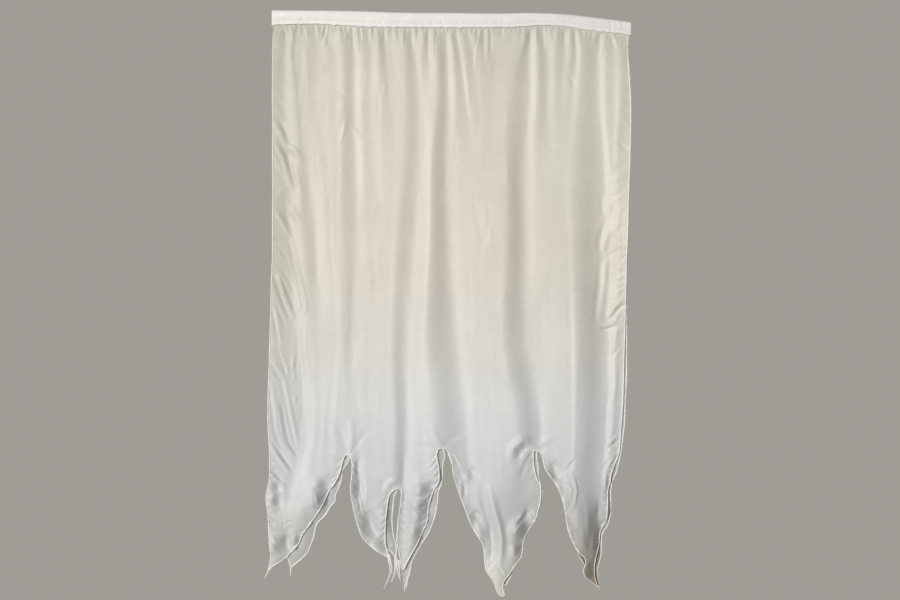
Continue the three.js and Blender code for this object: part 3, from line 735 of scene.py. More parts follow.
WRINKLES = soft_wrinkles(np.random.default_rng(41))
print(len(WRINKLES), "soft wrinkles")

# %% [markdown]
# ## Gathers under the casing
# Right under the casing the cloth is drawn up into small puckers, which die out within a hand's width.
# The ones that show most are listed, in the same form as CREASES, and seeded small ones lie between them.

# %% Gathers under the casing
GATHERS = (
    (((-282.1, -19), (-282.1, -43.7)), 2.6, -0.63),
    (((-274.6, -19), (-272.6, -51.3)), 2.6, 0.7),
    (((-253.6, -19), (-253.6, -51.3)), 2.9, 0.77),
    (((-238.4, -24.7), (-242.2, -41.8), (-247.9, -51.3)), 2.9, -1.12),
    (((-234.6, -26.6), (-237.5, -45.6), (-242.2, -62.7)), 2.4, 0.91),
    (((-225.1, -19), (-221.3, -51.3)), 2.9, -0.56),
    (((-213.8, -19), (-209.9, -58.9)), 2.9, 0.7),
    (((-202.3, -19), (-192.8, -47.5)), 2.3, -0.84),
    (((-192.8, -19), (-202.3, -51.3)), 2.3, 0.77),
    (((-189, -19), (-187.1, -70.3)), 2.7, -1.12),
    (((-179.5, -19), (-177.7, -77.9)), 2.7, 1.12),
    (((-173.8, -20.9), (-171.9, -55.1)), 2.1, -0.7),
    (((-168.2, -19), (-168.2, -51.3)), 2.1, 0.56),
    (((-160.5, -19), (-158.7, -58.9)), 2.3, -0.7),
    (((-154.8, -19), (-152.9, -55.1)), 2.3, 0.63),
    (((-147.2, -19), (-147.2, -47.5)), 2.3, -0.63),
    (((-137.8, -19), (-137.8, -62.7)), 2.4, 0.84),
    (((-128.2, -19), (-126.3, -58.9)), 2.4, -0.91),
    (((-120.6, -19), (-120.6, -47.5)), 2.1, 0.63),
    (((-113, -19), (-113, -47.5)), 2.1, -0.56),
    (((-107.3, -19), (-105.4, -55.1)), 2.3, 0.63),
    (((-99.8, -19), (-99.8, -47.5)), 2.1, -0.56),
    (((-94, -19), (-92.1, -70.3)), 2.3, 0.7),
    (((-86.5, -19), (-86.5, -47.5)), 1.9, -0.56),
    (((-77, -19), (-75, -70.3)), 2.6, -0.91),
    (((-69.3, -19), (-69.3, -51.3)), 2.1, 0.63),
    (((-63.6, -19), (-63.6, -51.3)), 2.1, -0.63),
    (((-54.1, -19), (-54.1, -58.9)), 2.4, 0.7),
    (((-44.6, -19), (-44.6, -89.3)), 2.9, -1.12),
    (((-37, -19), (-35.1, -89.3)), 2.6, 0.98),
    (((-27.5, -19), (-27.5, -51.3)), 2.3, -0.63),
    (((-0.9, -20.9), (1.9, -34.2), (8.5, -39.9)), 2.1, 0.84),
    (((10.4, -24.7), (19.9, -70.3), (27.5, -117.8), (33.2, -165.3)), 2.3, 0.77),
    (((56, -24.7), (52.2, -55.1), (46.5, -70.3), (44.6, -127.3)), 2.3, 0.77),
    (((59.8, -20.9), (60.8, -81.7)), 2.7, -1.05),
    (((68.4, -20.9), (68.4, -93.1)), 2.3, 0.98),
    (((75, -20.9), (75, -81.7)), 2.6, -0.84),
    (((48.4, -19), (48.4, -47.5)), 3.6, -1.12),
    (((95.9, -19), (95.9, -47.5)), 2.9, -0.91),
    (((107.3, -19), (107.3, -43.7)), 2.9, 0.63),
    (((124.4, -19), (124.4, -58.9)), 3.2, 0.7),
    (((139.7, -19), (137.8, -70.3)), 3.6, 0.84),
    (((151, -19), (149.2, -58.9)), 2.9, -0.98),
    (((160.5, -19), (162.4, -70.3)), 2.6, 0.84),
    (((171.9, -19), (175.8, -66.5)), 2.9, -0.98),
    (((185.2, -19), (187.1, -51.3)), 2.6, 0.63),
    (((200.4, -19), (200.4, -58.9)), 2.9, 0.77),
    (((213.8, -20.9), (213.8, -66.5)), 2.9, -0.91),
    (((225.1, -20.9), (225.1, -58.9)), 2.4, 0.7),
    (((234.6, -22.8), (234.6, -70.3)), 2.6, -0.84),
    (((249.8, -24.7), (249.8, -45.6)), 3.6, -1.12),
    (((271.7, -28.5), (271.7, -64.6)), 2.9, 0.98),
    (((282.1, -30.4), (282.1, -70.3)), 2.9, -0.91),
    (((289.8, -32.3), (287.8, -66.5), (282.1, -89.3)), 2.1, 0.84),
    (((304.9, -30.4), (312.6, -55.1), (318.2, -70.3)), 2.1, 0.84),
    (((299.2, -30.4), (304.9, -55.1), (308.8, -74.1)), 2.4, -0.84),
    (((325.8, -43.7), (325.8, -66.5)), 2.9, -0.56),
    (((-329.6, -15.2), (-329.6, -39.9)), 2.9, -0.56),
    (((-316.3, -15.2), (-316.3, -51.3)), 2.9, -0.77),
    (((-303.1, -17.1), (-301.1, -55.1)), 2.9, 0.77),
)
SMALL_GATHERS = {
    "count": 130,
    "x": (-332, 336),
    "jog": (-3, 3),
    "reach": (6, 20),
    "bend": (-2, 2),
    "drift": (-4, 4),
    "half_width": (1.5, 2.2),
    "out": (0.35, 0.95),
}
GATHER_START = 6


def small_gathers(rng):
    """Seeded puckers in the same form as GATHERS, ridge and trough by turns."""
    rows = []
    for number, x in enumerate(np.linspace(*SMALL_GATHERS["x"], SMALL_GATHERS["count"])):
        x = x + rng.uniform(*SMALL_GATHERS["jog"])
        top = float(casing_foot(x)) + GATHER_START
        foot = top - GATHER_START - rng.uniform(*SMALL_GATHERS["reach"])
        out = rng.uniform(*SMALL_GATHERS["out"]) * (1 if number % 2 else -1)
        middle_x = x + rng.uniform(*SMALL_GATHERS["bend"])
        foot_x = x + rng.uniform(*SMALL_GATHERS["drift"])
        path = ((x, top), (middle_x, (top + foot) / 2), (foot_x, foot))
        rows.append((path, rng.uniform(*SMALL_GATHERS["half_width"]), out))
    return rows


print(len(GATHERS), "listed gathers and", SMALL_GATHERS["count"], "small ones for each panel")

# %% [markdown]
# ## How deep the cloth lies
# Both panels are sewn flat into the casing, one against the other, and stand apart below it. All relief
# starts from nothing at the stitches: puckers reach their full depth within a few millimetres, and folds
# further down. The back panel lies in the same folds as the front one, a little shallower, as one layer
# leans on the other.

# %% How deep the cloth lies
SEWN_HALF_GAP = 0.75
CLEAR_OF_CASING = 1.5
CLOTH_IN_CASING = 6
LAYER_SPACING = 0.8
FOLD_RAMP = 16
GATHER_RAMP = 3
SPACING_RAMP = 60


def lie(x, z, facing, share, fold_share, extra, gathers):
    """The depth y of the cloth in millimetres. facing is 1 for the front panel and -1 for the back one."""
    below = casing_foot(x) - CLEAR_OF_CASING - z
    folds = fold_relief(x, z) * smooth(below / FOLD_RAMP)
    upright = crease_relief(x, z, CREASES + tuple(WRINKLES))
    creases = (upright + crease_relief(x, z, SLANTS, slanting=True)) * smooth(below / FOLD_RAMP)
    puckers = crease_relief(x, z, gathers) * smooth(below / GATHER_RAMP)
    out = share * fold_share * (folds + creases) + fold_share * puckers
    rest = -facing * (SEWN_HALF_GAP + LAYER_SPACING * smooth(below / SPACING_RAMP))
    return rest - out - extra


# %% [markdown]
# ## A panel as a grid that splits into tails
# The panel is one sheet: rows of points from the casing down, which part at the slits' roots into five
# narrower grids. Twice as many columns stand under the casing, where the puckers are small. The hem is
# drawn up a little by its thread, so the last millimetres of cloth along each free edge ripple. In the
# tails that ripple is stronger and leans, so that one edge turns to the front and the other to the back.
# THREADS says which x at the casing the vertical threads have that end at which x at the roots.

# %% A panel as a grid that splits into tails
ARCH_FACES = 4
ARCH_RISE = 1.6
GATHER_SHARE = 0.075
HEM_RIPPLE = {"out": 0.8, "reach": 8.0, "pitch": 7.0, "height": 1200, "least": 0.3}
TAIL_RIPPLE = 2.0
TAIL_LEAN = 1.4
TAIL_FOLD_SHARE = 0.8
FULL_RIPPLE_WIDTH = 30
HANG_START = 4
BOW_START = 2.5
THREADS = ((-345, -212, -107, -41, 29, 174, 322), (-337.5, -206, -92, -28, -9, 145, 338))


def root_row(tails, columns):
    """The points where the tails begin, each with the number of its tail, or -1 in a slit's small arch."""
    rows = []
    for number, (tail, count) in enumerate(zip(tails, columns)):
        (left_x, left_z), (right_x, right_z) = tail["left"][0], tail["right"][0]
        for i in range(count + 1):
            rows.append((mix(left_x, right_x, i / count), mix(left_z, right_z, i / count), number))
        if number + 1 < len(tails):
            next_x, next_z = tails[number + 1]["left"][0]
            for i in range(1, ARCH_FACES):
                t = i / ARCH_FACES
                rise = ARCH_RISE * math.sin(math.pi * t)
                rows.append((mix(right_x, next_x, t), mix(right_z, next_z, t) + rise, -1))
    return np.array(rows)


def edge_waves(rng, edges):
    """Seeded wave heights along each free edge, one every HEM_RIPPLE["pitch"] down the cloth."""
    count = int(HEM_RIPPLE["height"] / HEM_RIPPLE["pitch"])
    return rng.uniform(-1, 1, (edges, count)) * rng.uniform(HEM_RIPPLE["least"], 1, (edges, count))


def ripple(waves, z, distance, lean=0.0):
    """Small waves along one free edge, by height and by distance from that edge, raised by lean."""
    wave = through(np.arange(len(waves)), waves, -z / HEM_RIPPLE["pitch"])
    return HEM_RIPPLE["out"] * (wave + lean) * np.exp(-np.maximum(distance, 0) / HEM_RIPPLE["reach"])


class Rows:
    """The points of a panel, kept row by row until their depth is worked out for all of them at once."""

    def __init__(self):
        self.x, self.z, self.share, self.extra, self.faces, self.count = [], [], [], [], [], 0

    def add(self, x, z, share, extra):
        for column, value in zip((self.x, self.z, self.share, self.extra), (x, z, share, extra)):
            column.append(np.broadcast_to(value, x.shape))
        start = self.count
        self.count += len(x)
        return list(range(start, self.count))

    def join(self, above, below):
        for i in range(len(below) - 1):
            self.faces.append((below[i], below[i + 1], above[i + 1], above[i]))

    def join_finer(self, above, below):
        """Joins a row to one above it that has a point between each two."""
        for i in range(len(below) - 1):
            self.faces.append((below[i], below[i + 1], above[2 * i + 2], above[2 * i + 1], above[2 * i]))

    def all(self):
        return [np.concatenate(column) for column in (self.x, self.z, self.share, self.extra)]


def body_row(outline, share, root_x, root_z, waves):
    """x, z and ripple of one row of the body, a share of the way from the casing to the slits' roots."""
    left_side, right_side = (tuple(zip(*[(z, x) for x, z in outline[side]])) for side in ("left", "right"))

    def across(x, z):
        left, right = through(*left_side, z), through(*right_side, z)
        return (x - left) / (right - left)

    top_x = through(*THREADS, root_x)
    top_z = casing_foot(top_x) - CLEAR_OF_CASING
    z = mix(top_z, root_z, share)
    fan = mix(across(top_x, top_z), across(root_x, root_z), share**2)
    left, right = through(*left_side, z), through(*right_side, z)
    x = mix(left, right, fan)
    return x, z, ripple(waves[0], z, x - left) + ripple(waves[1], z, right - x)


def build_tail(rows, upper, tail, shape, count, waves):
    """Adds one tail below the row upper, and returns its left edge, its foot and its right edge."""
    across = np.linspace(0, 1, len(upper))
    shares = np.arange(1, count + 1) / count
    left_edge, right_edge = [], []
    for share, left, right in zip(shares, along(tail["left"], shares), along(tail["right"], shares)):
        x, z = mix(left[0], right[0], across), mix(left[1], right[1], across)
        width = math.dist(left, right)
        waving = ripple(waves[0], z, across * width, TAIL_LEAN)
        waving = waving + ripple(waves[1], z, (1 - across) * width, -TAIL_LEAN)
        started = smooth(HANG_START * share)
        extra = started * (TAIL_RIPPLE * waving * smooth(width / FULL_RIPPLE_WIDTH) + shape["forward"])
        bow = shape["bow"] * np.sin(np.pi * across) * math.sin(math.pi * share)
        extra = extra + bow * smooth(BOW_START * share)
        extra = extra + shape["sway"] * share**2
        lower = rows.add(x, z, mix(1, TAIL_FOLD_SHARE, share), extra)
        rows.join(upper, lower)
        left_edge.append(lower[0])
        right_edge.append(lower[-1])
        upper = lower
    return left_edge, upper[1:-1], right_edge


def build_panel(name, outline, facing, fold_share, columns, row_counts, tail_shapes, seed):
    """Makes one panel, and returns it with the path of its free edge."""
    rng = np.random.default_rng(seed)
    gathers = list(GATHERS) + small_gathers(rng)
    waves = edge_waves(rng, 2 + 2 * len(outline["tails"]))
    rows = Rows()
    root_x, root_z, root_tail = root_row(outline["tails"], columns).T
    order = np.arange(len(root_x))
    fine = np.linspace(0, order[-1], 2 * len(order) - 1)
    fine_x, fine_z = np.interp(fine, order, root_x), np.interp(fine, order, root_z)

    top_x = through(*THREADS, fine_x)
    above = rows.add(top_x, casing_foot(top_x) + CLOTH_IN_CASING, 1, 0)
    body = []
    for share in np.linspace(0, GATHER_SHARE, row_counts["gathers"]):
        x, z, extra = body_row(outline, share, fine_x, fine_z, waves)
        body.append(rows.add(x, z, 1, extra))
        rows.join(above, body[-1])
        above = body[-1]
    for number, share in enumerate(np.linspace(GATHER_SHARE, 1, row_counts["body"] + 1)[1:]):
        x, z, extra = body_row(outline, share, root_x, root_z, waves)
        body.append(rows.add(x, z, 1, extra))
        (rows.join if number else rows.join_finer)(above, body[-1])
        above = body[-1]

    edge = [row[0] for row in body]
    for number, (tail, shape) in enumerate(zip(outline["tails"], tail_shapes)):
        members = np.flatnonzero(root_tail == number)
        upper = [above[i] for i in members]
        tail_waves = waves[2 + 2 * number : 4 + 2 * number]
        left_edge, foot, right_edge = build_tail(rows, upper, tail, shape, row_counts["tail"], tail_waves)
        edge += left_edge + foot + right_edge[::-1] + [upper[-1]]
        if number + 1 < len(tail_shapes):
            edge += [above[i] for i in range(members[-1] + 1, members[-1] + ARCH_FACES + 1)]
    edge += [row[-1] for row in body[-2::-1]]

    x, z, share, extra = rows.all()
    y = lie(x, z, facing, share, fold_share, extra, gathers)
    points = np.stack([x, y, z], axis=-1) * MM
    panel = mesh_object(name, points, rows.faces)
    print(name, "has", len(panel.data.polygons), "faces; cloth area", round(cloth_area(panel), 3), "m2")
    return panel, points[edge]


def cloth_area(piece):
    return sum(face.area for face in piece.data.polygons)


# %% [markdown]
# ## Wrinkles along the tails' hems
# Each tail's hem draws the cloth into short wrinkles that run in and down from the edge. They are seeded,
# as the soft wrinkles are, and both panels share them, since the relief of both comes from the same
# lists.

# %% Wrinkles along the tails' hems
EDGE_WRINKLES = {
    "spacing": (5, 9),
    "reach": (6, 14),
    "fall": (0.3, 1.4),
    "half_width": (1.8, 2.8),
    "out": (0.9, 2.3),
}


def edge_wrinkles(rng, tails):
    """Seeded short wrinkles that run in and down from each hem, where its thread draws the cloth up."""
    rows = []
    for tail in tails:
        for edge, inward in (("left", 1), ("right", -1)):
            line = np.array(tail[edge], dtype=float)
            length = np.hypot(*np.diff(line, axis=0).T).sum()
            count = int(length / EDGE_WRINKLES["spacing"][1])
            places = np.cumsum(rng.uniform(*EDGE_WRINKLES["spacing"], count))
            for number, (x, z) in enumerate(along(line, places[places < length] / length)):
                reach = rng.uniform(*EDGE_WRINKLES["reach"])
                path = ((x, z), (x + inward * reach, z - rng.uniform(*EDGE_WRINKLES["fall"]) * reach))
                out = rng.uniform(*EDGE_WRINKLES["out"]) * (1 if number % 2 else -1)
                rows.append((path, rng.uniform(*EDGE_WRINKLES["half_width"]), out))
    return rows


WRINKLES += edge_wrinkles(np.random.default_rng(43), FRONT_OUTLINE["tails"])
print(len(WRINKLES), "wrinkles with those along the hems")

# %% [markdown]
# ## The front panel
# Each tail hangs forward a little, and has a bow, how far its middle stands out, and a sway, how far its
# point does. The front panel's grid is the finer one, since it is the panel that is looked at.

# %% The front panel
FRONT_TAIL_SHAPES = (
    {"forward": 2.4, "bow": 4, "sway": 2},
    {"forward": 2.1, "bow": 3.5, "sway": 2.5},
    {"forward": 2.2, "bow": 4, "sway": 1},
    {"forward": 1.3, "bow": 7, "sway": 2},
    {"forward": 2.4, "bow": 5, "sway": 2},
)
front_panel, front_edge = build_panel(
    "satin_front_panel",
    FRONT_OUTLINE,
    facing=1,
    fold_share=1.0,
    columns=(55, 33, 27, 64, 58),
    row_counts={"gathers": 26, "body": 230, "tail": 100},
    tail_shapes=FRONT_TAIL_SHAPES,
    seed=11,
)

# %% [markdown]
# ## The back panel
# The same steps make the back panel, with flatter tails that don't hang forward, so that the layers stay
# apart.

# %% The back panel
BACK_TAIL_SHAPES = (
    {"forward": 0, "bow": 1.5, "sway": 0.5},
    {"forward": 0, "bow": 1, "sway": 1},
    {"forward": 0, "bow": 1.5, "sway": -1},
    {"forward": 0, "bow": 3, "sway": -0.5},
    {"forward": 0, "bow": 2, "sway": 0.5},
)
back_panel, back_edge = build_panel(
    "satin_back_panel",
    BACK_OUTLINE,
    facing=-1,
    fold_share=0.93,
    columns=(42, 26, 22, 50, 44),
    row_counts={"gathers": 20, "body": 170, "tail": 66},
    tail_shapes=BACK_TAIL_SHAPES,
    seed=47,
)

# %% [markdown]
# ## Rolled hems
# The free edges are rolled tightly over and overlocked, which shows as a fine cord along the cloth's
# edge. One tube along the whole free edge of each panel gives it, a little thicker and thinner from place
# to place. The thread's loose ends hang from some of the points, as short tubes that get thinner towards
# their ends.

# %% Rolled hems
HEM_RADIUS = 1.15 * MM
HEM_START = 40
HEM_THINNEST = 0.45
HEM_KNOTS = 200
HEM_UNEVENNESS = (0.8, 1.2)
THREAD_RADIUS = 1.5 * MM
THREAD_STEPS = 12
THREAD_SWAY = 3 * MM
THREAD_WAVER = (-0.4, 0.4)
THREAD_TURN = 3
THREAD_THICK, THREAD_THINNING = 1.1, 0.7
TUBE_CORNERS = 6
FRONT_THREADS = (
    ((-346, -1056), (-349, -1063), (-354, -1073)),
    ((-120, -1032), (-116, -1060), (-128, -1092)),
    ((-119, -1026), (-113, -1049), (-114, -1066)),
    ((-106, -1032), (-107, -1055), (-114, -1081)),
    ((-104, -1035), (-102, -1058), (-96, -1081)),
    ((-100, -1039), (-98, -1062), (-97, -1077)),
)
BACK_THREADS = (
    ((-305, -1052), (-306, -1070)),
    ((-107, -1032), (-108, -1058), (-113, -1081)),
    ((-105, -1032), (-104, -1054), (-109, -1073)),
    ((-89, -1091), (-88, -1100)),
)


def sweep(path, radii, corners):
    """A closed tube along a path that lies nearly in the XZ plane."""
    tangent = np.gradient(path, axis=0)
    tangent /= np.linalg.norm(tangent, axis=1)[:, None]
    across = np.cross(tangent, (0, 1, 0))
    across /= np.linalg.norm(across, axis=1)[:, None]
    upright = np.cross(across, tangent)
    points, faces = [], []
    for i, (p, a, u, r) in enumerate(zip(path, across, upright, radii)):
        for k in range(corners):
            angle = 2 * math.pi * k / corners
            points.append(p + r * (math.cos(angle) * a + math.sin(angle) * u))
            if i:
                here, there = i * corners + k, i * corners + (k + 1) % corners
                faces.append((here - corners, there - corners, there, here))
    faces.append(tuple(range(corners - 1, -1, -1)))
    faces.append(tuple(range(len(points) - corners, len(points))))
    return points, faces


def build_hem(name, edge, threads, seed):
    """The cord along one free edge, with the loose ends of its thread at the points."""
    rng = np.random.default_rng(seed)
    knots = rng.uniform(*HEM_UNEVENNESS, HEM_KNOTS)
    radii = HEM_RADIUS * through(np.linspace(0, 1, HEM_KNOTS), knots, np.linspace(0, 1, len(edge)))
    from_end = np.minimum(np.arange(len(edge)), np.arange(len(edge))[::-1])
    radii = radii * mix(HEM_THINNEST, 1, smooth(from_end / HEM_START))
    points, faces = sweep(edge, radii, TUBE_CORNERS)
    shares = np.linspace(0, 1, THREAD_STEPS)
    thread_radii = THREAD_RADIUS * (THREAD_THICK - THREAD_THINNING * shares)
    for line in threads:
        x, z = np.array(along(line, shares)).T * MM
        start = edge[np.argmin(np.hypot(edge[:, 0] - x[0], edge[:, 2] - z[0]))]
        swayed = start[1] - THREAD_SWAY * np.sin(THREAD_TURN * shares)
        y = swayed + rng.uniform(*THREAD_WAVER, THREAD_STEPS) * MM
        more_points, more_faces = sweep(np.stack([x, y, z], axis=-1), thread_radii, TUBE_CORNERS)
        faces += [tuple(k + len(points) for k in face) for face in more_faces]
        points += more_points
    return mesh_object(name, points, faces)


front_hem = build_hem("front_rolled_hem", front_edge, FRONT_THREADS, 5)
back_hem = build_hem("back_rolled_hem", back_edge, BACK_THREADS, 6)
print("hems:", len(front_edge), "and", len(back_edge), "steps")

# %% [markdown]
# ## The casing
# A strip of cotton, folded in half over the top, with a hollow for a rod and two lips that hold the
# panels. It is a loft of one section along the flag. The section's half depth is given from the top edge
# down, and heights in it are shares of the casing's height. CASING_CREASES are its sewn marks and small
# puckers, deepened by MARK_SHARE. At the right end a folded hem stands a little proud.

# %% The casing
CASING_CLOTH = 1.1
SECTION_DOWN = (0.0, 0.04, 0.14, 0.3, 0.5, 0.66, 0.76, 1.0)
SECTION_HALF_DEPTH = (0.9, 2.4, 4.0, 4.8, 4.8, 4.1, 2.75, 2.75)
OUTER_STEPS = (
    0.0, 0.012, 0.03, 0.06, 0.1, 0.15, 0.21, 0.28, 0.35, 0.42,
    0.49, 0.56, 0.62, 0.68, 0.73, 0.78, 0.84, 0.9, 0.95, 1.0,
)
INNER_STEPS = (0.16, 0.3, 0.5, 0.62, 0.7, 0.78, 0.9, 1.0)
CROWN_THICKNESS = 1.4
CROWN_HALF_WIDTH = 0.8
END_HEM_X = 303
END_HEM_PROUD = 0.5
END_HEM_STEP = 1.2
CASING_HALF_WIDTH = 341
CASING_RINGS = 380
MARK_SHARE = 1.7
MARK_START = 0.12
NOTCH_FROM, NOTCH_SPAN = 0.6, 0.4
BELLY_FOOT = 0.8
CASING_CREASES = (
    (((-316.3, -13.3), (-312.6, -19)), 1.5, -0.76),
    (((-255.5, -13.3), (-251.8, -19)), 1.5, -0.76),
    (((-227, -14.2), (-223.2, -19.9)), 1.5, -0.76),
    (((-194.8, -15.2), (-190.9, -20.9)), 1.5, -0.76),
    (((-164.3, -16.1), (-160.5, -21.8)), 1.5, -0.76),
    (((-99.8, -16.1), (-95.9, -22.8)), 1.5, -0.76),
    (((-67.5, -16.1), (-63.6, -22.8)), 1.5, -0.76),
    (((10.4, -15.2), (14.2, -20.9)), 1.5, -0.76),
    (((38.9, -15.2), (42.8, -20.9)), 1.5, -0.76),
    (((95.9, -13.3), (99.8, -19)), 1.5, -0.76),
    (((130.2, -13.3), (133.9, -19)), 1.5, -0.76),
    (((274.6, -17.1), (278.3, -24.7)), 1.5, -0.76),
    (((-259.3, -0.9), (-251.8, -4.8)), 1.3, 0.76),
    (((-247.9, -2.8), (-240.3, -5.7)), 1.3, 0.76),
    (((-284.1, -9.5), (-280.2, -14.2)), 1.9, -1.14),
    (((-133.9, -15.2), (-130.2, -19.9)), 1.9, -1.14),
    (((-38.9, -17.1), (-35.1, -21.8)), 1.9, -1.14),
    (((-19.9, -15.2), (-16.1, -19.9)), 1.9, -1.14),
    (((67.5, -13.3), (71.2, -18.1)), 1.9, -1.14),
    (((-339.1, -1.9), (-322.1, -0.8), (-304.9, -2.8)), 1.3, 0.95),
    (((-339.1, -7.6), (-322.1, -6.8), (-306.8, -7.6)), 1.3, 0.95),
    (((-339.1, -4.9), (-306.8, -5.3)), 1.3, -0.76),
    (((185.2, -10.4), (209.9, -12.3), (234.6, -15.2)), 1.7, -0.85),
    (((206.1, -7.6), (206.1, -15.2)), 1.1, -0.57),
    (((217.5, -8.5), (217.5, -16.1)), 1.1, -0.57),
    (((227, -10.4), (227, -17.1)), 1.1, -0.57),
    (((246, -13.3), (246, -19)), 1.1, -0.57),
    (((303.1, -11.4), (303.1, -38)), 1.5, -0.95),
    (((316.3, -17.1), (320.1, -32.3)), 2.3, 0.66),
    (((-211.8, -5.7), (-189, -4.8)), 2.3, 0.57),
    (((101.6, -3.8), (149.2, -5.7)), 2.7, -0.57),
)


def wavy(rng, pitch, out):
    """Seeded waves along the casing, read with through()."""
    knots = np.arange(-CASING_HALF_WIDTH, CASING_HALF_WIDTH + pitch, pitch)
    return knots, rng.uniform(-out, out, len(knots))


def face_points(x, half_depth, side, z):
    """The points of one face of the casing, side -1 at the front and 1 at the back."""
    return np.stack([np.broadcast_to(x, z.shape), side * half_depth, z], axis=-1)


casing_rng = np.random.default_rng(3)
x = np.linspace(-CASING_HALF_WIDTH, CASING_HALF_WIDTH, CASING_RINGS)[:, None]
top, height = casing_top(x), casing_top(x) - casing_foot(x)
notches = through(*wavy(casing_rng, pitch=6, out=1.5), x)
proud = END_HEM_PROUD * smooth((x - END_HEM_X + END_HEM_STEP / 2) / END_HEM_STEP)

down = np.array(OUTER_STEPS)[None]
outer_z = top - down * height + notches * np.clip((down - NOTCH_FROM) / NOTCH_SPAN, 0, 1)
outer_depth = through(SECTION_DOWN, SECTION_HALF_DEPTH, down) + proud
belly = np.sin(np.pi * np.clip(down, 0, BELLY_FOOT) / BELLY_FOOT)
marks = crease_relief(np.broadcast_to(x, outer_z.shape), outer_z, CASING_CREASES)
marks = MARK_SHARE * (marks * smooth(down / MARK_START))
front_depth = outer_depth + through(*wavy(casing_rng, pitch=19, out=0.35), x) * belly + marks
back_depth = outer_depth + through(*wavy(casing_rng, pitch=19, out=0.35), x) * belly

inner_down = np.array(INNER_STEPS)[None]
inner_z = top - inner_down * height
inner_depth = through(SECTION_DOWN, SECTION_HALF_DEPTH, inner_down) - CASING_CLOTH
inner_depth = np.broadcast_to(inner_depth, inner_z.shape).copy()
inner_z[:, 0], inner_depth[:, 0] = top[:, 0] - CROWN_THICKNESS, CROWN_HALF_WIDTH

rings = np.concatenate(
    [
        face_points(x, front_depth, -1, outer_z)[:, ::-1],
        face_points(x, back_depth, 1, outer_z),
        face_points(x, inner_depth, 1, inner_z)[:, ::-1],
        face_points(x, inner_depth, -1, inner_z),
    ],
    axis=1,
)
corners = rings.shape[1]
casing_faces = []
for ring in range(CASING_RINGS - 1):
    here, there = ring * corners, (ring + 1) * corners
    for k in range(corners):
        beside = (k + 1) % corners
        casing_faces.append((here + k, there + k, there + beside, here + beside))
casing_faces.append(tuple(range(corners)))
casing_faces.append(tuple(range(CASING_RINGS * corners - 1, (CASING_RINGS - 1) * corners - 1, -1)))
casing = mesh_object("rod_casing", rings.reshape(-1, 3) * MM, casing_faces)
print("casing has", len(casing.data.polygons), "faces")

# %% [markdown]
# ## Weave
# Every cloth here has threads, patches that took up a little more or less dye, and fine streaks. Noise
# gives all three, at a scale of its own for each. As a group of nodes it is built once, and each cloth
# sets its own thread counts.


# %% Weave, as a group for every cloth
def group_of(name, inputs, outputs):
    """A node group with named sockets, and its two end nodes."""
    group = bpy.data.node_groups.new(name, "ShaderNodeTree")
    for label, kind, value in inputs:
        socket = group.interface.new_socket(label, in_out="INPUT", socket_type=kind)
        if value is not None:
            socket.default_value = value
    for label, kind in outputs:
        group.interface.new_socket(label, in_out="OUTPUT", socket_type=kind)
    return group, group.nodes.new("NodeGroupInput"), group.nodes.new("NodeGroupOutput")


weave, weave_in, weave_out = group_of(
    "cloth weave",
    [
        ("Threads across", "NodeSocketFloat", 900.0),
        ("Threads down", "NodeSocketFloat", 90.0),
        ("Patch size", "NodeSocketFloat", 14.0),
    ],
    [("Height", "NodeSocketFloat"), ("Patches", "NodeSocketFloat"), ("Streaks", "NodeSocketFloat")],
)
weave_links = weave.links
STREAK_STRETCH = (70.0, 70.0, 420.0)


def noise_along(vector, detail):
    """A noise node of the weave group, one unit in size, that reads the given vector."""
    noise = weave.nodes.new("ShaderNodeTexNoise")
    noise.inputs["Scale"].default_value = 1.0
    noise.inputs["Detail"].default_value = detail
    weave_links.new(vector, noise.inputs["Vector"])
    return noise


weave_place = weave.nodes.new("ShaderNodeTexCoord")
weave_scale = weave.nodes.new("ShaderNodeCombineXYZ")
weave_links.new(weave_in.outputs["Threads across"], weave_scale.inputs["X"])
weave_links.new(weave_in.outputs["Threads across"], weave_scale.inputs["Y"])
weave_links.new(weave_in.outputs["Threads down"], weave_scale.inputs["Z"])
weave_stretch = weave.nodes.new("ShaderNodeVectorMath")
weave_stretch.operation = "MULTIPLY"
weave_links.new(weave_place.outputs["Object"], weave_stretch.inputs[0])
weave_links.new(weave_scale.outputs["Vector"], weave_stretch.inputs[1])
weave_noise = noise_along(weave_stretch.outputs["Vector"], detail=3.0)
weave_links.new(weave_noise.outputs["Fac"], weave_out.inputs["Height"])
patch_noise = noise_along(weave_place.outputs["Object"], detail=2.0)
weave_links.new(weave_in.outputs["Patch size"], patch_noise.inputs["Scale"])
weave_links.new(patch_noise.outputs["Fac"], weave_out.inputs["Patches"])
streak_stretch = weave.nodes.new("ShaderNodeVectorMath")
streak_stretch.operation = "MULTIPLY"
streak_stretch.inputs[1].default_value = STREAK_STRETCH
weave_links.new(weave_place.outputs["Object"], streak_stretch.inputs[0])
streak_noise = noise_along(streak_stretch.outputs["Vector"], detail=3.0)
weave_links.new(streak_noise.outputs["Fac"], weave_out.inputs["Streaks"])
print("the weave group has", len(weave.nodes), "nodes")

# %% [markdown]
# ## Satin
# Satin is smooth, with fine vertical threads, a soft gloss and a colour that is warmer above and cooler
# below. One colour ramp down the cloth's middle gives that change, and one for each side, blended in over
# LEFT_REACH and RIGHT_REACH in metres from the middle. The ramps also hold painted shade, in the darker
# rows just under the casing and in the tails, darkest in the right tail, and a painted highlight in the
# middle near the points. At the right point the colour also turns brown. The values were tuned until the
# render had the look of the real flag. The back panel shows the satin's dull side, rougher, in the same
# colours DULL_SIDE_AND_PAINTED_SHADE times as bright, which is painted shade for the shadow between the
# two layers. A fine bump keeps the gloss from looking like plastic.


# %% Satin
def colour_rows(*rows):
    """Rows of a height in metres and its colours at the left, in the middle and at the right."""
    return [dict(zip(("z", "left", "middle", "right"), row)) for row in rows]
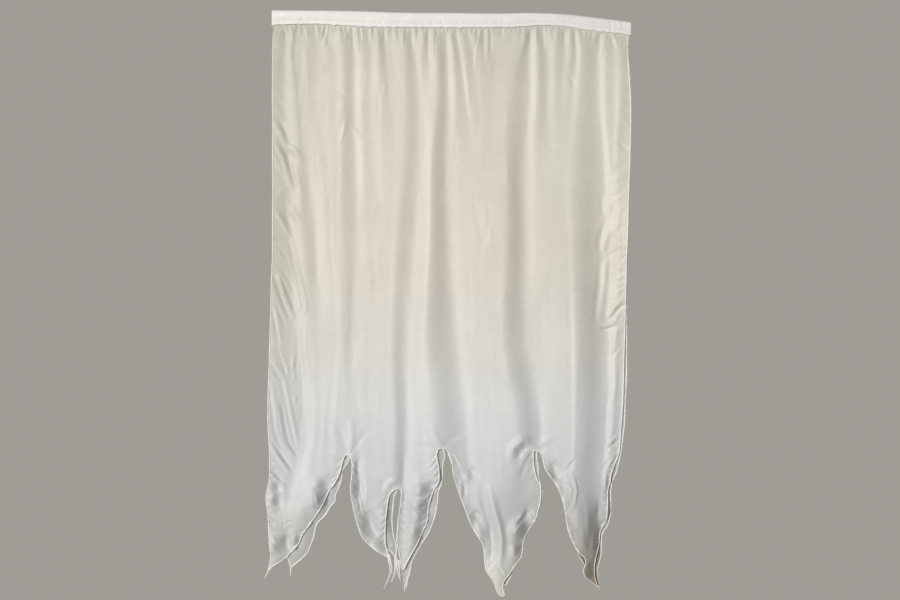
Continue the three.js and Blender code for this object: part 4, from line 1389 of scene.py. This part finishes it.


# Painted light in these rows: the rows at -0.06 and -0.02 are darker as painted shade under the casing. From
# -0.89 down the rows are painted shade in the tails, darkest at the right, with a painted highlight in the
# middle at -1.05. The right colour turns brown at -1.1.
SATIN_COLOURS_AND_PAINTED_LIGHT = colour_rows(
    (-1.1, (0.6, 0.59, 0.55), (0.7, 0.7, 0.66), (0.33, 0.28, 0.22)),
    (-1.05, (0.62, 0.63, 0.61), (0.74, 0.75, 0.73), (0.36, 0.33, 0.29)),
    (-1.01, (0.63, 0.64, 0.63), (0.64, 0.655, 0.65), (0.45, 0.445, 0.43)),
    (-0.96, (0.64, 0.65, 0.65), (0.6, 0.62, 0.625), (0.53, 0.54, 0.54)),
    (-0.89, (0.655, 0.675, 0.685), (0.655, 0.68, 0.7), (0.63, 0.65, 0.66)),
    (-0.74, (0.659, 0.669, 0.669), (0.74, 0.754, 0.759), (0.724, 0.735, 0.74)),
    (-0.6, (0.654, 0.649, 0.599), (0.745, 0.726, 0.67), (0.735, 0.724, 0.669)),
    (-0.45, (0.634, 0.615, 0.543), (0.745, 0.704, 0.634), (0.745, 0.719, 0.643)),
    (-0.15, (0.612, 0.6, 0.53), (0.739, 0.69, 0.62), (0.75, 0.734, 0.663)),
    (-0.06, (0.58, 0.564, 0.492), (0.673, 0.652, 0.58), (0.704, 0.693, 0.616)),
    (-0.02, (0.535, 0.52, 0.452), (0.625, 0.606, 0.538), (0.655, 0.645, 0.572)),
)
# The back panel's colours are darkened by this share as painted shade for the shadow between the two layers.
# The dull side's own finish is its higher roughness.
DULL_SIDE_AND_PAINTED_SHADE = 0.78
LEFT_REACH = (0.22, 0.325)
RIGHT_REACH = (0.09, 0.22)
CLOTH_HEIGHTS = (-1.12, 0.01)
SHEEN_ROUGHNESS = 0.4
MOTTLING = {"From Min": 0.7, "From Max": 1.3, "To Min": 0.955, "To Max": 1.04}
THREAD_RELIEF = 0.0003


def cloth_material(name, colours, roughness, gloss, sheen, weave_values, bump):
    """A cloth whose colour changes with height, mottled a little, with a fine weave in its bump."""
    material = bpy.data.materials.new(name)
    material.use_nodes = True
    nodes, links = material.node_tree.nodes, material.node_tree.links
    shader = nodes["Principled BSDF"]
    shader.inputs["Roughness"].default_value = roughness
    shader.inputs["Sheen Weight"].default_value = sheen
    shader.inputs["Sheen Roughness"].default_value = SHEEN_ROUGHNESS
    shader.inputs["Specular IOR Level"].default_value = gloss
    place = nodes.new("ShaderNodeTexCoord")
    split = nodes.new("ShaderNodeSeparateXYZ")
    links.new(place.outputs["Object"], split.inputs["Vector"])
    height = nodes.new("ShaderNodeMapRange")
    height.inputs["From Min"].default_value = CLOTH_HEIGHTS[0]
    height.inputs["From Max"].default_value = CLOTH_HEIGHTS[1]
    links.new(split.outputs["Z"], height.inputs["Value"])
    ramps = []
    for part in ("middle", "left", "right"):
        ramp = nodes.new("ShaderNodeValToRGB")
        while len(ramp.color_ramp.elements) < len(colours):
            ramp.color_ramp.elements.new(0.5)
        for element, row in zip(ramp.color_ramp.elements, colours):
            element.position = (row["z"] - CLOTH_HEIGHTS[0]) / (CLOTH_HEIGHTS[1] - CLOTH_HEIGHTS[0])
            element.color = (*row[part], 1)
        links.new(height.outputs["Result"], ramp.inputs["Fac"])
        ramps.append(ramp)
    colour = ramps[0].outputs["Color"]
    for ramp, (near, far), way in zip(ramps[1:], (LEFT_REACH, RIGHT_REACH), (-1, 1)):
        sideways = nodes.new("ShaderNodeMapRange")
        sideways.interpolation_type = "SMOOTHSTEP"
        sideways.inputs["From Min"].default_value = way * near
        sideways.inputs["From Max"].default_value = way * far
        links.new(split.outputs["X"], sideways.inputs["Value"])
        blend = nodes.new("ShaderNodeMix")
        blend.data_type = "RGBA"
        links.new(sideways.outputs["Result"], blend.inputs["Factor"])
        links.new(colour, blend.inputs["A"])
        links.new(ramp.outputs["Color"], blend.inputs["B"])
        colour = blend.outputs["Result"]
    threads = nodes.new("ShaderNodeGroup")
    threads.node_tree = weave
    for label, value in weave_values.items():
        threads.inputs[label].default_value = value
    tint = nodes.new("ShaderNodeMapRange")
    for label, value in MOTTLING.items():
        tint.inputs[label].default_value = value
    uneven = nodes.new("ShaderNodeMath")
    uneven.operation = "ADD"
    links.new(threads.outputs["Patches"], uneven.inputs[0])
    links.new(threads.outputs["Streaks"], uneven.inputs[1])
    links.new(uneven.outputs["Value"], tint.inputs["Value"])
    mottled = nodes.new("ShaderNodeVectorMath")
    mottled.operation = "SCALE"
    links.new(colour, mottled.inputs[0])
    links.new(tint.outputs["Result"], mottled.inputs["Scale"])
    links.new(mottled.outputs["Vector"], shader.inputs["Base Color"])
    relief = nodes.new("ShaderNodeBump")
    relief.inputs["Strength"].default_value = bump
    relief.inputs["Distance"].default_value = THREAD_RELIEF
    links.new(threads.outputs["Height"], relief.inputs["Height"])
    links.new(relief.outputs["Normal"], shader.inputs["Normal"])
    return material


def dulled_and_shaded(row):
    """One row of colours, DULL_SIDE_AND_PAINTED_SHADE times as bright: painted shade on the back layer."""
    return {key: value if key == "z" else tuple(DULL_SIDE_AND_PAINTED_SHADE * c for c in value) for key, value in row.items()}


SATIN_FINISH = {
    "gloss": 0.5,
    "sheen": 0.15,
    "weave_values": {"Threads across": 700.0, "Threads down": 60.0, "Patch size": 12.0},
    "bump": 0.12,
}
satin = cloth_material("satin", SATIN_COLOURS_AND_PAINTED_LIGHT, roughness=0.48, **SATIN_FINISH)
dull_shaded_colours = tuple(dulled_and_shaded(row) for row in SATIN_COLOURS_AND_PAINTED_LIGHT)
satin_dull_and_shaded = cloth_material("satin, dull side in painted shade", dull_shaded_colours, roughness=0.55, **SATIN_FINISH)
print("satin has", len(SATIN_COLOURS_AND_PAINTED_LIGHT), "colour heights")

# %% [markdown]
# ## Hem thread and cotton
# The hem's thread is whiter and glossier than the cloth, and the casing is matt cotton with a coarser
# bump. Both use the same material function with values of their own.

# %% Hem thread and cotton
# The lowest row is painted shade at the points, as in the satin, and at the right point it turns brown.
HEM_COLOURS_AND_TIP_SHADE = colour_rows(
    (-1.12, (0.88, 0.87, 0.82), (0.9, 0.9, 0.88), (0.6, 0.54, 0.46)),
    (-1, (0.95, 0.95, 0.94), (0.97, 0.98, 0.98), (0.95, 0.95, 0.94)),
    (-0.4, (0.93, 0.92, 0.88), (0.96, 0.95, 0.93), (0.96, 0.95, 0.91)),
)
hem_thread = cloth_material(
    "hem thread",
    HEM_COLOURS_AND_TIP_SHADE,
    roughness=0.4,
    gloss=1.0,
    sheen=0.6,
    weave_values={"Threads across": 900.0, "Threads down": 900.0, "Patch size": 60.0},
    bump=0.5,
)
CASING_COLOURS = colour_rows(
    (-0.045, (0.9, 0.87, 0.86), (0.91, 0.88, 0.87), (0.87, 0.85, 0.84)),
    (0, (0.94, 0.91, 0.9), (0.95, 0.92, 0.91), (0.91, 0.88, 0.87)),
)
cotton = cloth_material(
    "white cotton",
    CASING_COLOURS,
    roughness=0.8,
    gloss=0.3,
    sheen=0.2,
    weave_values={"Threads across": 1100.0, "Threads down": 1100.0, "Patch size": 30.0},
    bump=0.35,
)
front_panel.data.materials.append(satin)
back_panel.data.materials.append(satin_dull_and_shaded)
for piece in (front_hem, back_hem):
    piece.data.materials.append(hem_thread)
casing.data.materials.append(cotton)
print("materials:", [finish.name for finish in (satin, satin_dull_and_shaded, hem_thread, cotton)])

# %% [markdown]
# ## What each piece stands for
# Each cloth rides on the one body and takes the place of its solid, which is hidden. The hems ride on the
# same body.

for piece, node, finish in (
    (front_panel, "front_panel", "satin"),
    (back_panel, "back_panel", "satin"),
    (casing, "rod_sleeve", "white_casing"),
):
    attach(piece, "root")
    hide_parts(node)
for hem, panel in ((front_hem, front_panel), (back_hem, back_panel)):
    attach(hem, "root")
